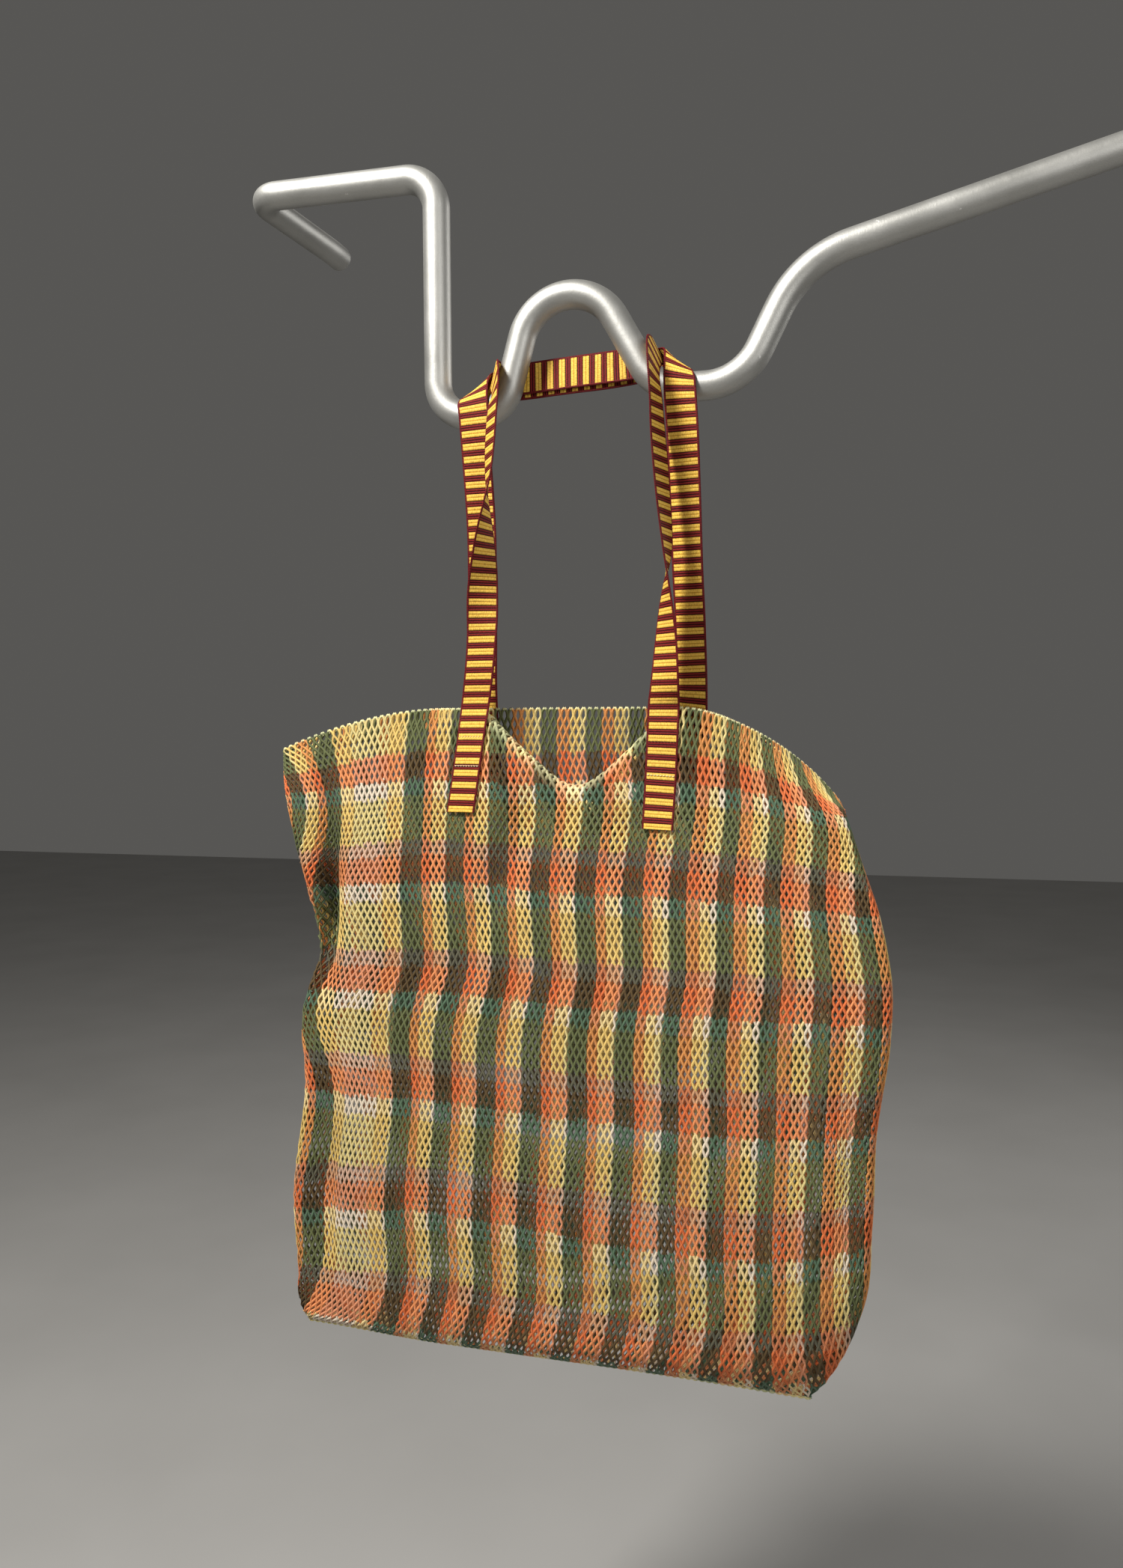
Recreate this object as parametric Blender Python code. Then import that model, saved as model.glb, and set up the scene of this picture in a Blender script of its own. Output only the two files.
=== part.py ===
"""Net tote bag hanging by two webbing handles on a bent tube wall rail.

Frame: the origin is the centre of the rail's first wall end, +X runs along the wall,
+Y points into the wall and +Z is up. The tables are in millimetres; MM turns them
into the metres that the objects are built in.
"""

import math

import bmesh
import bpy
from mathutils import Quaternion, Vector

MM = 0.001

# Rail: one bent round tube that stands off the wall and returns to it.
TUBE_DIAMETER = 22.0
TUBE_SIDES = 16
STAND_OFF = 131.0
RAIL_SPAN = 700.0
BEND_STEP = math.radians(9)
RAIL_PLANE = -STAND_OFF

# Corners of the rail's centre line before rounding, from one wall end to the other.
RAIL_CORNERS = (
    # x, y, z, bend radius
    (0.0, -16.0, 0.0, 120.0),
    (-13.0, RAIL_PLANE, 2.0, 18.0),
    (147.0, RAIL_PLANE, 0.0, 26.0),
    (147.0, RAIL_PLANE, -190.5, 28.0),
    (201.5, RAIL_PLANE, -190.5, 27.0),
    (244.0, RAIL_PLANE, -38.0, 41.0),
    (325.0, RAIL_PLANE, -181.0, 36.0),
    (391.0, RAIL_PLANE, -181.0, 45.0),
    (433.5, RAIL_PLANE, -96.0, 80.0),
    (RAIL_SPAN, RAIL_PLANE, -31.0, 24.0),
)

# Net body: one tube of net, flat width and depth below the rim, hung open at the top.
NET_THICKNESS = 1.6
NET_COLUMNS = 28
MOUTH_ACROSS = (0.36, 0.74)
RIM_ROUNDNESS = 4.0
BODY_ROUNDNESS = 3.0

# One row for each weft line that shapes the bag, from the top line down to the bottom fold.
# drop: distance down the cloth; z: height of the line; lift_l, lift_r: rise of its two ends;
# left, right: x of its side folds; fold_l, fold_r: y of its side folds;
# front_l, front_m, front_r: swell towards the front at left, middle and right; back: swell to the wall.
NET_LINES = (
    # drop, z, lift_l, lift_r, left, right, fold_l, fold_r, front_l, front_m, front_r, back
    (55, -486, -10, -26, 5, 470, -133, -106, 12, 24, 34, 14),
    (100, -527, -9, -20, 13, 482, -133, -116, 12, 24, 28, 16),
    (145, -569, -5, -13, 22, 494, -133, -124, 12, 25, 22, 18),
    (178, -601, -3, -8, 29, 500, -133, -127, 12, 27, 22, 20),
    (212, -635, -1, -3, 31, 504, -133, -129, 12, 29, 24, 22),
    (235, -657, 0, 0, 24, 504, -133, -130, 12, 30, 26, 24),
    (255, -677, 0, 0, 18, 503, -133, -130, 12, 30, 28, 25),
    (325, -747, 0, 2, 18, 494, -133, -131, 12, 32, 34, 28),
    (415, -839, -8, 18, 5, 491, -133, -131, 12, 34, 40, 30),
    (470, -900, -6, 16, 8, 485, -133, -131, 12, 33, 36, 27),
    (505, -938, 0, 4, 9, 465, -133, -131, 12, 27, 28, 20),
    (515, -949, 2, 0, 12, 456, -133, -131, 11, 18, 19, 14),
    (525, -957, 4, -3, 17, 446, -133, -131, 6, 6, 6, 6),
)
NET_DROPS = (0, 8, 16, 24, 32, 40, 48, 56, 66, 78, 90, 106, 125, 145, 162, 178, 195, 212, 224, 235,
             246, 262, 290, 325, 355, 385, 415, 443, 470, 488, 505, 515, 525)
LEFT_LIFT_SPAN = 0.30
RIGHT_LIFT_START = 0.62

# Rim: it hangs from the handles' feet and falls to both side folds.
RIM_TOP = -424.0
RIM_LEFT = 2.0
RIM_RIGHT = 465.0
RIM_FALL_L = {"start": 150.0, "fall": 34.0, "power": 1.8}
RIM_FALL_R = {"start": 340.0, "fall": 77.0, "power": 1.9}
RIM_HALF_DEPTH = 7.5
RIM_LEAN = 44.0
RIM_LEAN_FROM = 370.0
RIM_LEAN_TILT = 0.9
RIM_LEAN_DROP = 2.0
RIM_LEAN_CLOSE = 0.6

# Mouth: between the feet the front's slack rolls into the bag over a V shaped line, and the back bows out.
ROLL_CENTRE = 260.0
ROLL_LOWEST = -485.0
ROLL_SLOPE = 0.92
ROLL_SOFTNESS = 8.0
ROLL_RADIUS = 7.5
MOUTH_HALF = 85.0
MOUTH_BOW = 13.0

# Soft vertical folds, as troughs and ridges that run down between two places.
FOLDS = (
    # x at top, x at bottom, half width, depth into the bag, top drop, deepest drop, bottom drop, share of the back
    (50, 38, 14, 13, -20, 175, 270, 0.8),
    (46, 30, 13, 11, 265, 400, 520, 0.8),
    (476, 480, 15, 8, 245, 370, 490, 0.5),
    (206, 200, 24, -8, -40, 45, 170, 0.0),
    (232, 160, 15, 6, 40, 110, 250, 0.0),
    (296, 318, 18, 6, 30, 110, 260, 0.0),
)

# Handles: two strips of webbing, each sewn to one face of the net and hung over the rail.
WEBBING_WIDTH = 25.0
WEBBING_THICKNESS = 1.6
WEBBING_STEP = 5.0
FOOT_GAP = 1.0
FOOT_ROWS = 9
# Sewn feet. face: -1 on the front, 1 on the wall side; x_rim, x_end: middle of the strip; drop: sewn depth.
FEET = {
    "front_left": {"face": -1, "x_rim": 179.0, "x_end": 168.0, "drop": 78.0},
    "front_right": {"face": -1, "x_rim": 332.0, "x_end": 328.0, "drop": 90.0},
    "back_left": {"face": 1, "x_rim": 179.0, "x_end": 176.0, "drop": 82.0},
    "back_right": {"face": 1, "x_rim": 351.0, "x_end": 347.0, "drop": 84.0},
}

# Stations above the feet, left leg, span behind the rail and right leg.
# across_x, across_y, across_z: the direction of the strip's width.
FRONT_HANDLE = (
    # x, y, z, across_x, across_y, across_z
    (183, -144, -400, 1.0, -0.05, 0.0),
    (187, -146, -364, 1.0, 0.05, 0.0),
    (189, -149, -331, 0.86, 0.51, 0.0),
    (191, -151, -307, 0.58, 0.81, 0.0),
    (193, -154, -286, 0.24, 0.97, 0.0),
    (195, -156, -265, -0.16, 0.98, 0.0),
    (197, -157, -245, -0.44, 0.89, 0.0),
    (199, -158, -221, -0.57, 0.82, 0.0),
    (201, -159, -200, -0.58, 0.81, 0.0),
    (202.3, -158, -186, -0.56, 0.82, -0.10),
    (202.5, -153.5, -174.5, -0.46, 0.75, -0.45),
    (199, -144.5, -164.3, -0.37, 0.40, -0.83),
    (195.7, -133.5, -161, -0.27, 0.10, -0.95),
    (198, -122.5, -161.5, -0.26, 0.0, -0.97),
    (206, -118.6, -161, -0.10, 0.0, -1.0),
    (220, -118.6, -160.5, 0.0, 0.0, -1.0),
    (238, -118.6, -159.5, 0.0, 0.0, -1.0),
    (258, -118.6, -158.5, 0.0, 0.0, -1.0),
    (280, -118.6, -157.5, 0.0, 0.0, -1.0),
    (298, -118.6, -156.5, 0.06, 0.0, -1.0),
    (311, -118.3, -155, 0.18, 0.0, -0.98),
    (319, -119.8, -153.4, 0.32, 0.0, -0.95),
    (325, -126, -151.8, 0.41, 0.0, -0.91),
    (326.3, -136, -152.6, 0.42, 0.15, -0.89),
    (326.2, -147, -156.5, 0.36, 0.45, -0.80),
    (327, -155.5, -164, 0.26, 0.76, -0.58),
    (328, -160, -175, 0.20, 0.93, -0.30),
    (329.5, -161, -190, 0.20, 0.97, 0.0),
    (331, -159, -218, 0.28, 0.95, 0.0),
    (334, -156, -262, 0.28, 0.96, 0.0),
    (337, -153, -311, 0.03, 0.99, 0.0),
    (336, -151.5, -330, -0.30, 0.95, 0.0),
    (335.5, -150, -348, -0.55, 0.83, 0.0),
    (335, -148, -378, -0.81, 0.58, 0.0),
    (333.5, -145.5, -410, -0.96, 0.26, 0.0),
)
BACK_HANDLE = (
    # x, y, z, across_x, across_y, across_z
    (179, -122, -405, 1.0, 0.0, 0.0),
    (180, -124, -370, 1.0, 0.0, 0.0),
    (182, -129, -330, 1.0, -0.03, 0.0),
    (184, -136, -280, 1.0, -0.05, 0.0),
    (183, -141, -235, 1.0, -0.05, 0.0),
    (182, -144.4, -206, 1.0, -0.05, 0.03),
    (181.5, -144.8, -192, 0.99, 0.05, 0.08),
    (180.3, -143.5, -182, 0.95, 0.15, 0.20),
    (180, -138.5, -174, 0.85, 0.20, 0.45),
    (181.5, -132, -168.5, 0.72, 0.10, 0.68),
    (186, -122.5, -165.5, 0.45, 0.0, 0.89),
    (196, -116.8, -164.5, 0.20, 0.0, 0.98),
    (207, -115.6, -164.3, 0.05, 0.0, 1.0),
    (220, -115.6, -164, 0.0, 0.0, 1.0),
    (238, -115.6, -163, 0.0, 0.0, 1.0),
    (258, -115.6, -162, 0.0, 0.0, 1.0),
    (282, -115.6, -161, 0.0, 0.0, 1.0),
    (305, -115.6, -159, -0.10, 0.0, 1.0),
    (320.5, -116.1, -157, -0.26, 0.0, 0.96),
    (331, -119.5, -157, -0.50, -0.05, 0.86),
    (337.7, -127.5, -158.5, -0.64, -0.12, 0.76),
    (341.7, -135.5, -162, -0.80, -0.10, 0.59),
    (343.9, -142.3, -168, -0.91, 0.0, 0.41),
    (345, -145, -178, -0.98, 0.0, 0.17),
    (345.6, -145.5, -189, -1.0, 0.0, 0.05),
    (347, -144.5, -213, -1.0, 0.03, 0.0),
    (348, -137, -262, -1.0, 0.10, 0.0),
    (349, -130, -319, -1.0, 0.15, 0.0),
    (350, -124, -359, -1.0, 0.15, 0.0),
    (351, -122, -404, -1.0, 0.10, 0.0),
)

NET_COLOUR = (0.62, 0.52, 0.30, 1.0)
WEBBING_COLOUR = (0.36, 0.05, 0.06, 1.0)
STEEL_COLOUR = (0.72, 0.72, 0.70, 1.0)


def clear_scene():
    for obj in list(bpy.data.objects):
        bpy.data.objects.remove(obj, do_unlink=True)


def plain_material(name, colour, roughness, metallic=0.0):
    material = bpy.data.materials.new(name)
    material.use_nodes = True
    shader = material.node_tree.nodes["Principled BSDF"]
    shader.inputs["Base Color"].default_value = colour
    shader.inputs["Roughness"].default_value = roughness
    shader.inputs["Metallic"].default_value = metallic
    return material


def add_object(name, data, material):
    obj = bpy.data.objects.new(name, data)
    bpy.context.scene.collection.objects.link(obj)
    obj.data.materials.append(material)
    return obj


def smooth_step(start, end, value):
    part = min(max((value - start) / (end - start), 0.0), 1.0)
    return part * part * (3.0 - 2.0 * part)


def spline_value(places, values, place):
    """Reads a smooth curve through (place, value) pairs; values may be floats or vectors."""
    last = len(places) - 1
    place = min(max(place, places[0]), places[last])
    i = 0
    while i < last - 1 and place > places[i + 1]:
        i += 1
    slopes = [(values[k + 1] - values[k]) / (places[k + 1] - places[k]) for k in range(last)]

    def tangent(k):
        if k == 0:
            return slopes[0]
        if k == last:
            return slopes[last - 1]
        before = places[k] - places[k - 1]
        after = places[k + 1] - places[k]
        return (slopes[k - 1] * after + slopes[k] * before) / (before + after)

    step = places[i + 1] - places[i]
    t = (place - places[i]) / step
    return (
        values[i] * (2 * t**3 - 3 * t**2 + 1)
        + tangent(i) * ((t**3 - 2 * t**2 + t) * step)
        + values[i + 1] * (3 * t**2 - 2 * t**3)
        + tangent(i + 1) * ((t**3 - t**2) * step)
    )


def closing(across, power):
    """0 at both side folds and 1 between them: how far the two faces stand apart."""
    return (1.0 - abs(2.0 * across - 1.0) ** power) ** (1.0 / power)


# ---- rail

def rounded_corner(before, corner, after, radius):
    """Points of the arc that rounds a corner of a path."""
    to_before = (before - corner).normalized()
    to_after = (after - corner).normalized()
    half = to_before.angle(to_after) / 2.0
    centre = corner + (to_before + to_after).normalized() * (radius / math.sin(half))
    start = corner + to_before * (radius / math.tan(half)) - centre
    end = corner + to_after * (radius / math.tan(half)) - centre
    turn = start.angle(end)
    steps = max(2, math.ceil(turn / BEND_STEP))
    axis = start.cross(end).normalized()
    return [centre + Quaternion(axis, turn * k / steps) @ start for k in range(steps + 1)]


def rail_path():
    corners = [Vector((0.0, 0.0, 0.0))]
    corners += [Vector(row[:3]) for row in RAIL_CORNERS]
    corners.append(Vector((corners[-1].x, 0.0, corners[-1].z)))
    path = [corners[0]]
    for i, (_, _, _, radius) in enumerate(RAIL_CORNERS, start=1):
        path += rounded_corner(corners[i - 1], corners[i], corners[i + 1], radius)
    path.append(corners[-1])
    return path


def build_rail(material):
    curve = bpy.data.curves.new("rail", "CURVE")
    curve.dimensions = "3D"
    curve.bevel_depth = TUBE_DIAMETER / 2.0 * MM
    curve.bevel_resolution = (TUBE_SIDES - 4) // 2
    curve.use_fill_caps = True
    path = rail_path()
    spline = curve.splines.new("POLY")
    spline.points.add(len(path) - 1)
    for point, place in zip(spline.points, path):
        point.co = (*(place * MM), 1.0)
    spline.use_smooth = True
    return add_object("rail", curve, material)


# ---- net body

def mouth_bow(x):
    """1 halfway between the feet, 0 from the feet outwards."""
    part = min(abs(x - ROLL_CENTRE) / MOUTH_HALF, 1.0)
    return math.cos(math.pi / 2.0 * part) ** 2


def roll_line(x):
    """Height of the line that the front's slack rolls over."""
    return ROLL_LOWEST + math.hypot(ROLL_SLOPE * (x - ROLL_CENTRE), ROLL_SOFTNESS) - ROLL_SOFTNESS


def rolled(point):
    """Where a point of the front goes when the cloth above the roll line hangs down inside."""
    quarter = ROLL_RADIUS * math.pi / 2.0
    past = point.z - (roll_line(point.x) - ROLL_RADIUS) - quarter
    if past <= -quarter:
        return point
    turn = min(past / ROLL_RADIUS, math.pi / 2.0)
    y = point.y + ROLL_RADIUS * (1.0 + math.sin(turn))
    z = roll_line(point.x) - ROLL_RADIUS * (1.0 - math.cos(turn)) - max(past - quarter, 0.0)
    return Vector((point.x, y, z))


def rim_point(face, across):
    x = RIM_LEFT + (RIM_RIGHT - RIM_LEFT) * across
    past_left = max(RIM_FALL_L["start"] - x, 0.0) / (RIM_FALL_L["start"] - RIM_LEFT)
    past_right = max(x - RIM_FALL_R["start"], 0.0) / (RIM_RIGHT - RIM_FALL_R["start"])
    z = RIM_TOP
    z -= RIM_FALL_L["fall"] * past_left ** RIM_FALL_L["power"]
    z -= RIM_FALL_R["fall"] * past_right ** RIM_FALL_R["power"]
    leaning = smooth_step(RIM_LEAN_FROM, RIM_RIGHT, x)
    half_depth = RIM_HALF_DEPTH * closing(across, RIM_ROUNDNESS)
    y = RAIL_PLANE + RIM_LEAN * leaning + face * half_depth * (1.0 - RIM_LEAN_CLOSE * leaning)
    z -= RIM_LEAN_TILT * leaning * (face * half_depth + RIM_LEAN_DROP)
    if face > 0:
        y += MOUTH_BOW * mouth_bow(x)
    return Vector((x, y, z))


def line_point(face, across, line):
    """A point of one weft line, on the front (face -1) or on the wall side (face 1)."""
    _, z, lift_l, lift_r, left, right, fold_l, fold_r, front_l, front_m, front_r, back = line
    z += lift_l * (1.0 - smooth_step(0.0, LEFT_LIFT_SPAN, across))
    z += lift_r * max((across - RIGHT_LIFT_START) / (1.0 - RIGHT_LIFT_START), 0.0) ** 2
    if face > 0:
        swell = back
    elif across < 0.5:
        swell = front_l + (front_m - front_l) * across * 2.0
    else:
        swell = front_m + (front_r - front_m) * (across * 2.0 - 1.0)
    y = fold_l + (fold_r - fold_l) * across + face * swell * closing(across, BODY_ROUNDNESS)
    return Vector((left + (right - left) * across, y, z))


def fold_depth(face, x, drop):
    """How far the soft folds move a face towards the wall."""
    total = 0.0
    for x_top, x_bottom, half_width, depth, top, deepest, bottom, back_share in FOLDS:
        if top < drop < bottom:
            middle = x_top + (x_bottom - x_top) * (drop - top) / (bottom - top)
            run = smooth_step(top, deepest, drop) * (1.0 - smooth_step(deepest, bottom, drop))
            share = 1.0 if face < 0 else back_share
            total += share * depth * run * math.exp(-(((x - middle) / half_width) ** 2))
    return total


LINE_DROPS = [0.0] + [float(line[0]) for line in NET_LINES]


def net_point(face, across, drop):
    stack = [rim_point(face, across)] + [line_point(face, across, line) for line in NET_LINES]
    point = spline_value(LINE_DROPS, stack, drop)
    point.y += fold_depth(face, point.x, drop)
    return point


def build_net(material):
    """The net's outer face as rings from the rim to the bottom fold, thickened inwards."""
    mesh = bmesh.new()
    across = [0.5 - 0.5 * math.cos(math.pi * k / NET_COLUMNS) for k in range(NET_COLUMNS + 1)]
    mouth = [(a + b) / 2.0 for a, b in zip(across, across[1:]) if MOUTH_ACROSS[0] < a < MOUTH_ACROSS[1]]
    across = sorted(across + mouth)
    rings = []
    for drop in NET_DROPS:
        ring = [rolled(net_point(-1, a, drop)) for a in across]
        ring += [net_point(1, a, drop) for a in reversed(across[1:-1])]
        rings.append([mesh.verts.new(point * MM) for point in ring])
    count = len(rings[0])
    for upper, lower in zip(rings, rings[1:]):
        for k in range(count):
            after = (k + 1) % count
            mesh.faces.new((upper[k], lower[k], lower[after], upper[after]))
    bottom = rings[-1]
    mesh.faces.new((bottom[0], bottom[count - 1], bottom[1]))
    last = len(across) - 1
    for k in range(1, last - 1):
        mesh.faces.new((bottom[k], bottom[count - k], bottom[count - k - 1], bottom[k + 1]))
    mesh.faces.new((bottom[last - 1], bottom[last + 1], bottom[last]))
    bmesh.ops.recalc_face_normals(mesh, faces=mesh.faces)
    data = bpy.data.meshes.new("net_body")
    mesh.to_mesh(data)
    mesh.free()
    data.shade_smooth()
    net = add_object("net_body", data, material)
    shell = net.modifiers.new("thickness", "SOLIDIFY")
    shell.thickness = NET_THICKNESS * MM
    shell.offset = -1.0
    shell.use_even_offset = True
    return net


# ---- handles

def foot_stations(foot):
    """Centres and widths of a sewn foot, from its end up to the rim, just clear of the net's face."""
    centres = []
    widths = []
    stand = foot["face"] * (WEBBING_THICKNESS / 2.0 + FOOT_GAP)
    for row in range(FOOT_ROWS):
        drop = foot["drop"] * (1.0 - row / (FOOT_ROWS - 1))
        middle = foot["x_rim"] + (foot["x_end"] - foot["x_rim"]) * drop / foot["drop"]
        left = net_point(foot["face"], 0.0, drop).x
        right = net_point(foot["face"], 1.0, drop).x
        under = []
        for side in (-0.5, 0.0, 0.5):
            across = (middle + side * WEBBING_WIDTH - left) / (right - left)
            under.append(net_point(foot["face"], across, drop))
        centre = (under[0] + under[2]) / 2.0
        centre.y = max(centre.y * foot["face"], under[1].y * foot["face"]) * foot["face"] + stand
        centres.append(centre)
        widths.append((under[2] - under[0]).normalized())
    return centres, widths


def handle_stations(left_foot, table, right_foot):
    """Centres and width directions along the whole handle, foot to foot."""
    centres, widths = foot_stations(left_foot)
    for row in table:
        centres.append(Vector(row[:3]))
        widths.append(Vector(row[3:]).normalized())
    last_centres, last_widths = foot_stations(right_foot)
    centres += reversed(last_centres)
    widths += [-width for width in reversed(last_widths)]
    return centres, widths


def build_handle(name, left_foot, table, right_foot, material):
    """A strip of webbing swept along smooth curves through its stations."""
    centres, widths = handle_stations(left_foot, table, right_foot)
    places = [0.0]
    for before, after in zip(centres, centres[1:]):
        places.append(places[-1] + (after - before).length)
    steps = round(places[-1] / WEBBING_STEP)
    mesh = bmesh.new()
    sections = []
    for k in range(steps + 1):
        place = places[-1] * k / steps
        centre = spline_value(places, centres, place)
        ahead = spline_value(places, centres, min(place + 0.5, places[-1]))
        behind = spline_value(places, centres, max(place - 0.5, 0.0))
        along = (ahead - behind).normalized()
        width = spline_value(places, widths, place).normalized()
        half_width = width * (WEBBING_WIDTH / 2.0)
        half_thick = along.cross(width).normalized() * WEBBING_THICKNESS / 2.0
        corners = (
            centre - half_width - half_thick,
            centre + half_width - half_thick,
            centre + half_width + half_thick,
            centre - half_width + half_thick,
        )
        sections.append([mesh.verts.new(corner * MM) for corner in corners])
    mesh.faces.new(sections[0])
    mesh.faces.new(reversed(sections[-1]))
    for before, after in zip(sections, sections[1:]):
        for k in (1, 3):
            mesh.faces.new((before[k], after[k], after[(k + 1) % 4], before[(k + 1) % 4]))
        # Both wide faces are split along the same diagonal, so a twist keeps them parallel.
        mesh.faces.new((before[0], after[0], after[1]))
        mesh.faces.new((before[0], after[1], before[1]))
        mesh.faces.new((before[2], after[2], before[3]))
        mesh.faces.new((before[3], after[2], after[3]))
    bmesh.ops.recalc_face_normals(mesh, faces=mesh.faces)
    data = bpy.data.meshes.new(name)
    mesh.to_mesh(data)
    mesh.free()
    data.shade_smooth()
    data.set_sharp_from_angle(angle=math.radians(50))
    return add_object(name, data, material)


def main():
    clear_scene()
    steel = plain_material("satin_steel", STEEL_COLOUR, 0.35, 1.0)
    net = plain_material("plaid_net", NET_COLOUR, 0.85)
    webbing = plain_material("striped_webbing", WEBBING_COLOUR, 0.75)
    build_rail(steel)
    build_net(net)
    build_handle("front_handle", FEET["front_left"], FRONT_HANDLE, FEET["front_right"], webbing)
    build_handle("back_handle", FEET["back_left"], BACK_HANDLE, FEET["back_right"], webbing)


main()
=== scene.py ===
"""Looks of the net tote bag on its wall rail: knitted net, ribbed webbing and satin steel.

The tables are in millimetres in the part's own frame: the origin is at the rail's left wall end,
+X runs along the wall, +Y points into it and +Z is up. Most are the same as the CAD parts'.
The net is knitted from zigzag wales, which touch their neighbours in turn.
"""

import math

import bpy
import numpy as np
from mathutils import Matrix, Quaternion, Vector


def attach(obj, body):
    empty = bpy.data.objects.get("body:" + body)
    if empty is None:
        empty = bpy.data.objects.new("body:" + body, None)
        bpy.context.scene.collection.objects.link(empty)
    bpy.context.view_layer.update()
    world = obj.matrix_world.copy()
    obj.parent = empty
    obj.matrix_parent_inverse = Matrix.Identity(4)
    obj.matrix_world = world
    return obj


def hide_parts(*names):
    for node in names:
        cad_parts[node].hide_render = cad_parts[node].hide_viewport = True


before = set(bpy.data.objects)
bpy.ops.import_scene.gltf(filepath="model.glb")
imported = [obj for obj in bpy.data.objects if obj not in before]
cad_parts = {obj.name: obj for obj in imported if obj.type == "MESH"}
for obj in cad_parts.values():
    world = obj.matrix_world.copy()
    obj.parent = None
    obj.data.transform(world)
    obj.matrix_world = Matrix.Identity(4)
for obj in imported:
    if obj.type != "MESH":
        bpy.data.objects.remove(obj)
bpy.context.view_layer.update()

MM = 0.001
RNG = np.random.default_rng(7)

# ---- shape tables: rail

TUBE_DIAMETER = 22.0
STAND_OFF = 131.0
RAIL_SPAN = 700.0
RAIL_PLANE = -STAND_OFF
RAIL_SIDES = 48
BEND_STEP = math.radians(3)
# Corners of the rail's centre line before rounding, from one wall end to the other.
RAIL_CORNERS = (
    # x, y, z, bend radius
    (0.0, -16.0, 0.0, 120.0),
    (-13.0, RAIL_PLANE, 2.0, 18.0),
    (147.0, RAIL_PLANE, 0.0, 26.0),
    (147.0, RAIL_PLANE, -190.5, 28.0),
    (201.5, RAIL_PLANE, -190.5, 27.0),
    (244.0, RAIL_PLANE, -38.0, 41.0),
    (325.0, RAIL_PLANE, -181.0, 36.0),
    (391.0, RAIL_PLANE, -181.0, 45.0),
    (433.5, RAIL_PLANE, -96.0, 80.0),
    (RAIL_SPAN, RAIL_PLANE, -31.0, 24.0),
)

# ---- shape tables: bag

NET_THICKNESS = 1.6
NET_DEPTH = 525.0
RIM_ROUNDNESS = 4.0
BODY_ROUNDNESS = 3.0
# One row for each weft line that shapes the bag, from the top line down to the bottom fold.
# drop: distance down the cloth; z: height of the line; lift_l, lift_r: rise of its two ends;
# left, right: x of its side folds; fold_l, fold_r: y of its side folds;
# front_l, front_m, front_r: swell towards the front at left, middle and right; back: swell to the wall.
NET_LINES = (
    # drop, z, lift_l, lift_r, left, right, fold_l, fold_r, front_l, front_m, front_r, back
    (55, -486, -10, -26, 5, 470, -133, -106, 12, 24, 34, 14),
    (100, -527, -9, -20, 13, 482, -133, -116, 12, 24, 28, 16),
    (145, -569, -5, -13, 22, 494, -133, -124, 12, 25, 22, 18),
    (178, -601, -3, -8, 29, 500, -133, -127, 12, 27, 22, 20),
    (212, -635, -1, -3, 31, 504, -133, -129, 12, 29, 24, 22),
    (235, -657, 0, 0, 24, 504, -133, -130, 12, 30, 26, 24),
    (255, -677, 0, 0, 18, 503, -133, -130, 12, 30, 28, 25),
    (325, -747, 0, 2, 18, 494, -133, -131, 12, 32, 34, 28),
    (415, -839, -8, 18, 5, 491, -133, -131, 12, 34, 40, 30),
    (470, -900, -6, 16, 8, 485, -133, -131, 12, 33, 36, 27),
    (505, -938, 0, 4, 9, 465, -133, -131, 12, 27, 28, 20),
    (515, -949, 2, 0, 12, 456, -133, -131, 11, 18, 19, 14),
    (525, -957, 4, -3, 17, 446, -133, -131, 6, 6, 6, 6),
)
LEFT_LIFT_SPAN = 0.30
RIGHT_LIFT_START = 0.62
# The rim: its ends, the fall of its two corners, and the lean of its right end towards the wall.
RIM_TOP = -424.0
RIM_LEFT = 2.0
RIM_RIGHT = 465.0
RIM_FALLS = (
    # x where it starts, x where it ends, fall, power
    (150.0, RIM_LEFT, 34.0, 1.8),
    (340.0, RIM_RIGHT, 77.0, 1.9),
)
RIM_HALF_DEPTH = 7.5
RIM_LEAN = 44.0
RIM_LEAN_FROM = 370.0
RIM_LEAN_TILT = 0.9
RIM_LEAN_DROP = 2.0
RIM_LEAN_CLOSE = 0.6
# The dip between the handles, where the front rolls over and hangs back into the mouth.
ROLL_CENTRE = 260.0
ROLL_LOWEST = -485.0
ROLL_SLOPE = 1.05
ROLL_SOFTNESS = 20.0
ROLL_RADIUS = 7.5
ROLL_SOFT_MIDDLE = 4.0
MOUTH_HALF = 85.0
MOUTH_BOW = 13.0
# Troughs down the front, and a ridge where the depth is less than 0. The back has a share of each.
FOLDS = (
    # x_top, x_bottom, half_width, depth, drops of top, deepest and bottom, back_share
    (50, 38, 14, 13, -20, 175, 270, 0.8),
    (46, 30, 13, 11, 265, 400, 520, 0.8),
    (476, 480, 15, 8, 245, 370, 490, 0.5),
    (206, 200, 24, -8, -40, 45, 170, 0.0),
    (232, 160, 15, 6, 40, 110, 250, 0.0),
    (296, 318, 18, 6, 30, 110, 260, 0.0),
)
# The pocket between the left side fold and the front, narrower and deeper than the fold's trough.
POCKET = {
    "x_top": 50.0, "x_bottom": 36.0, "half_width": 8.0, "depth": 12.0,
    "top": 40.0, "deepest": 175.0, "bottom": 275.0,
}

# ---- shape tables: handles

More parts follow.
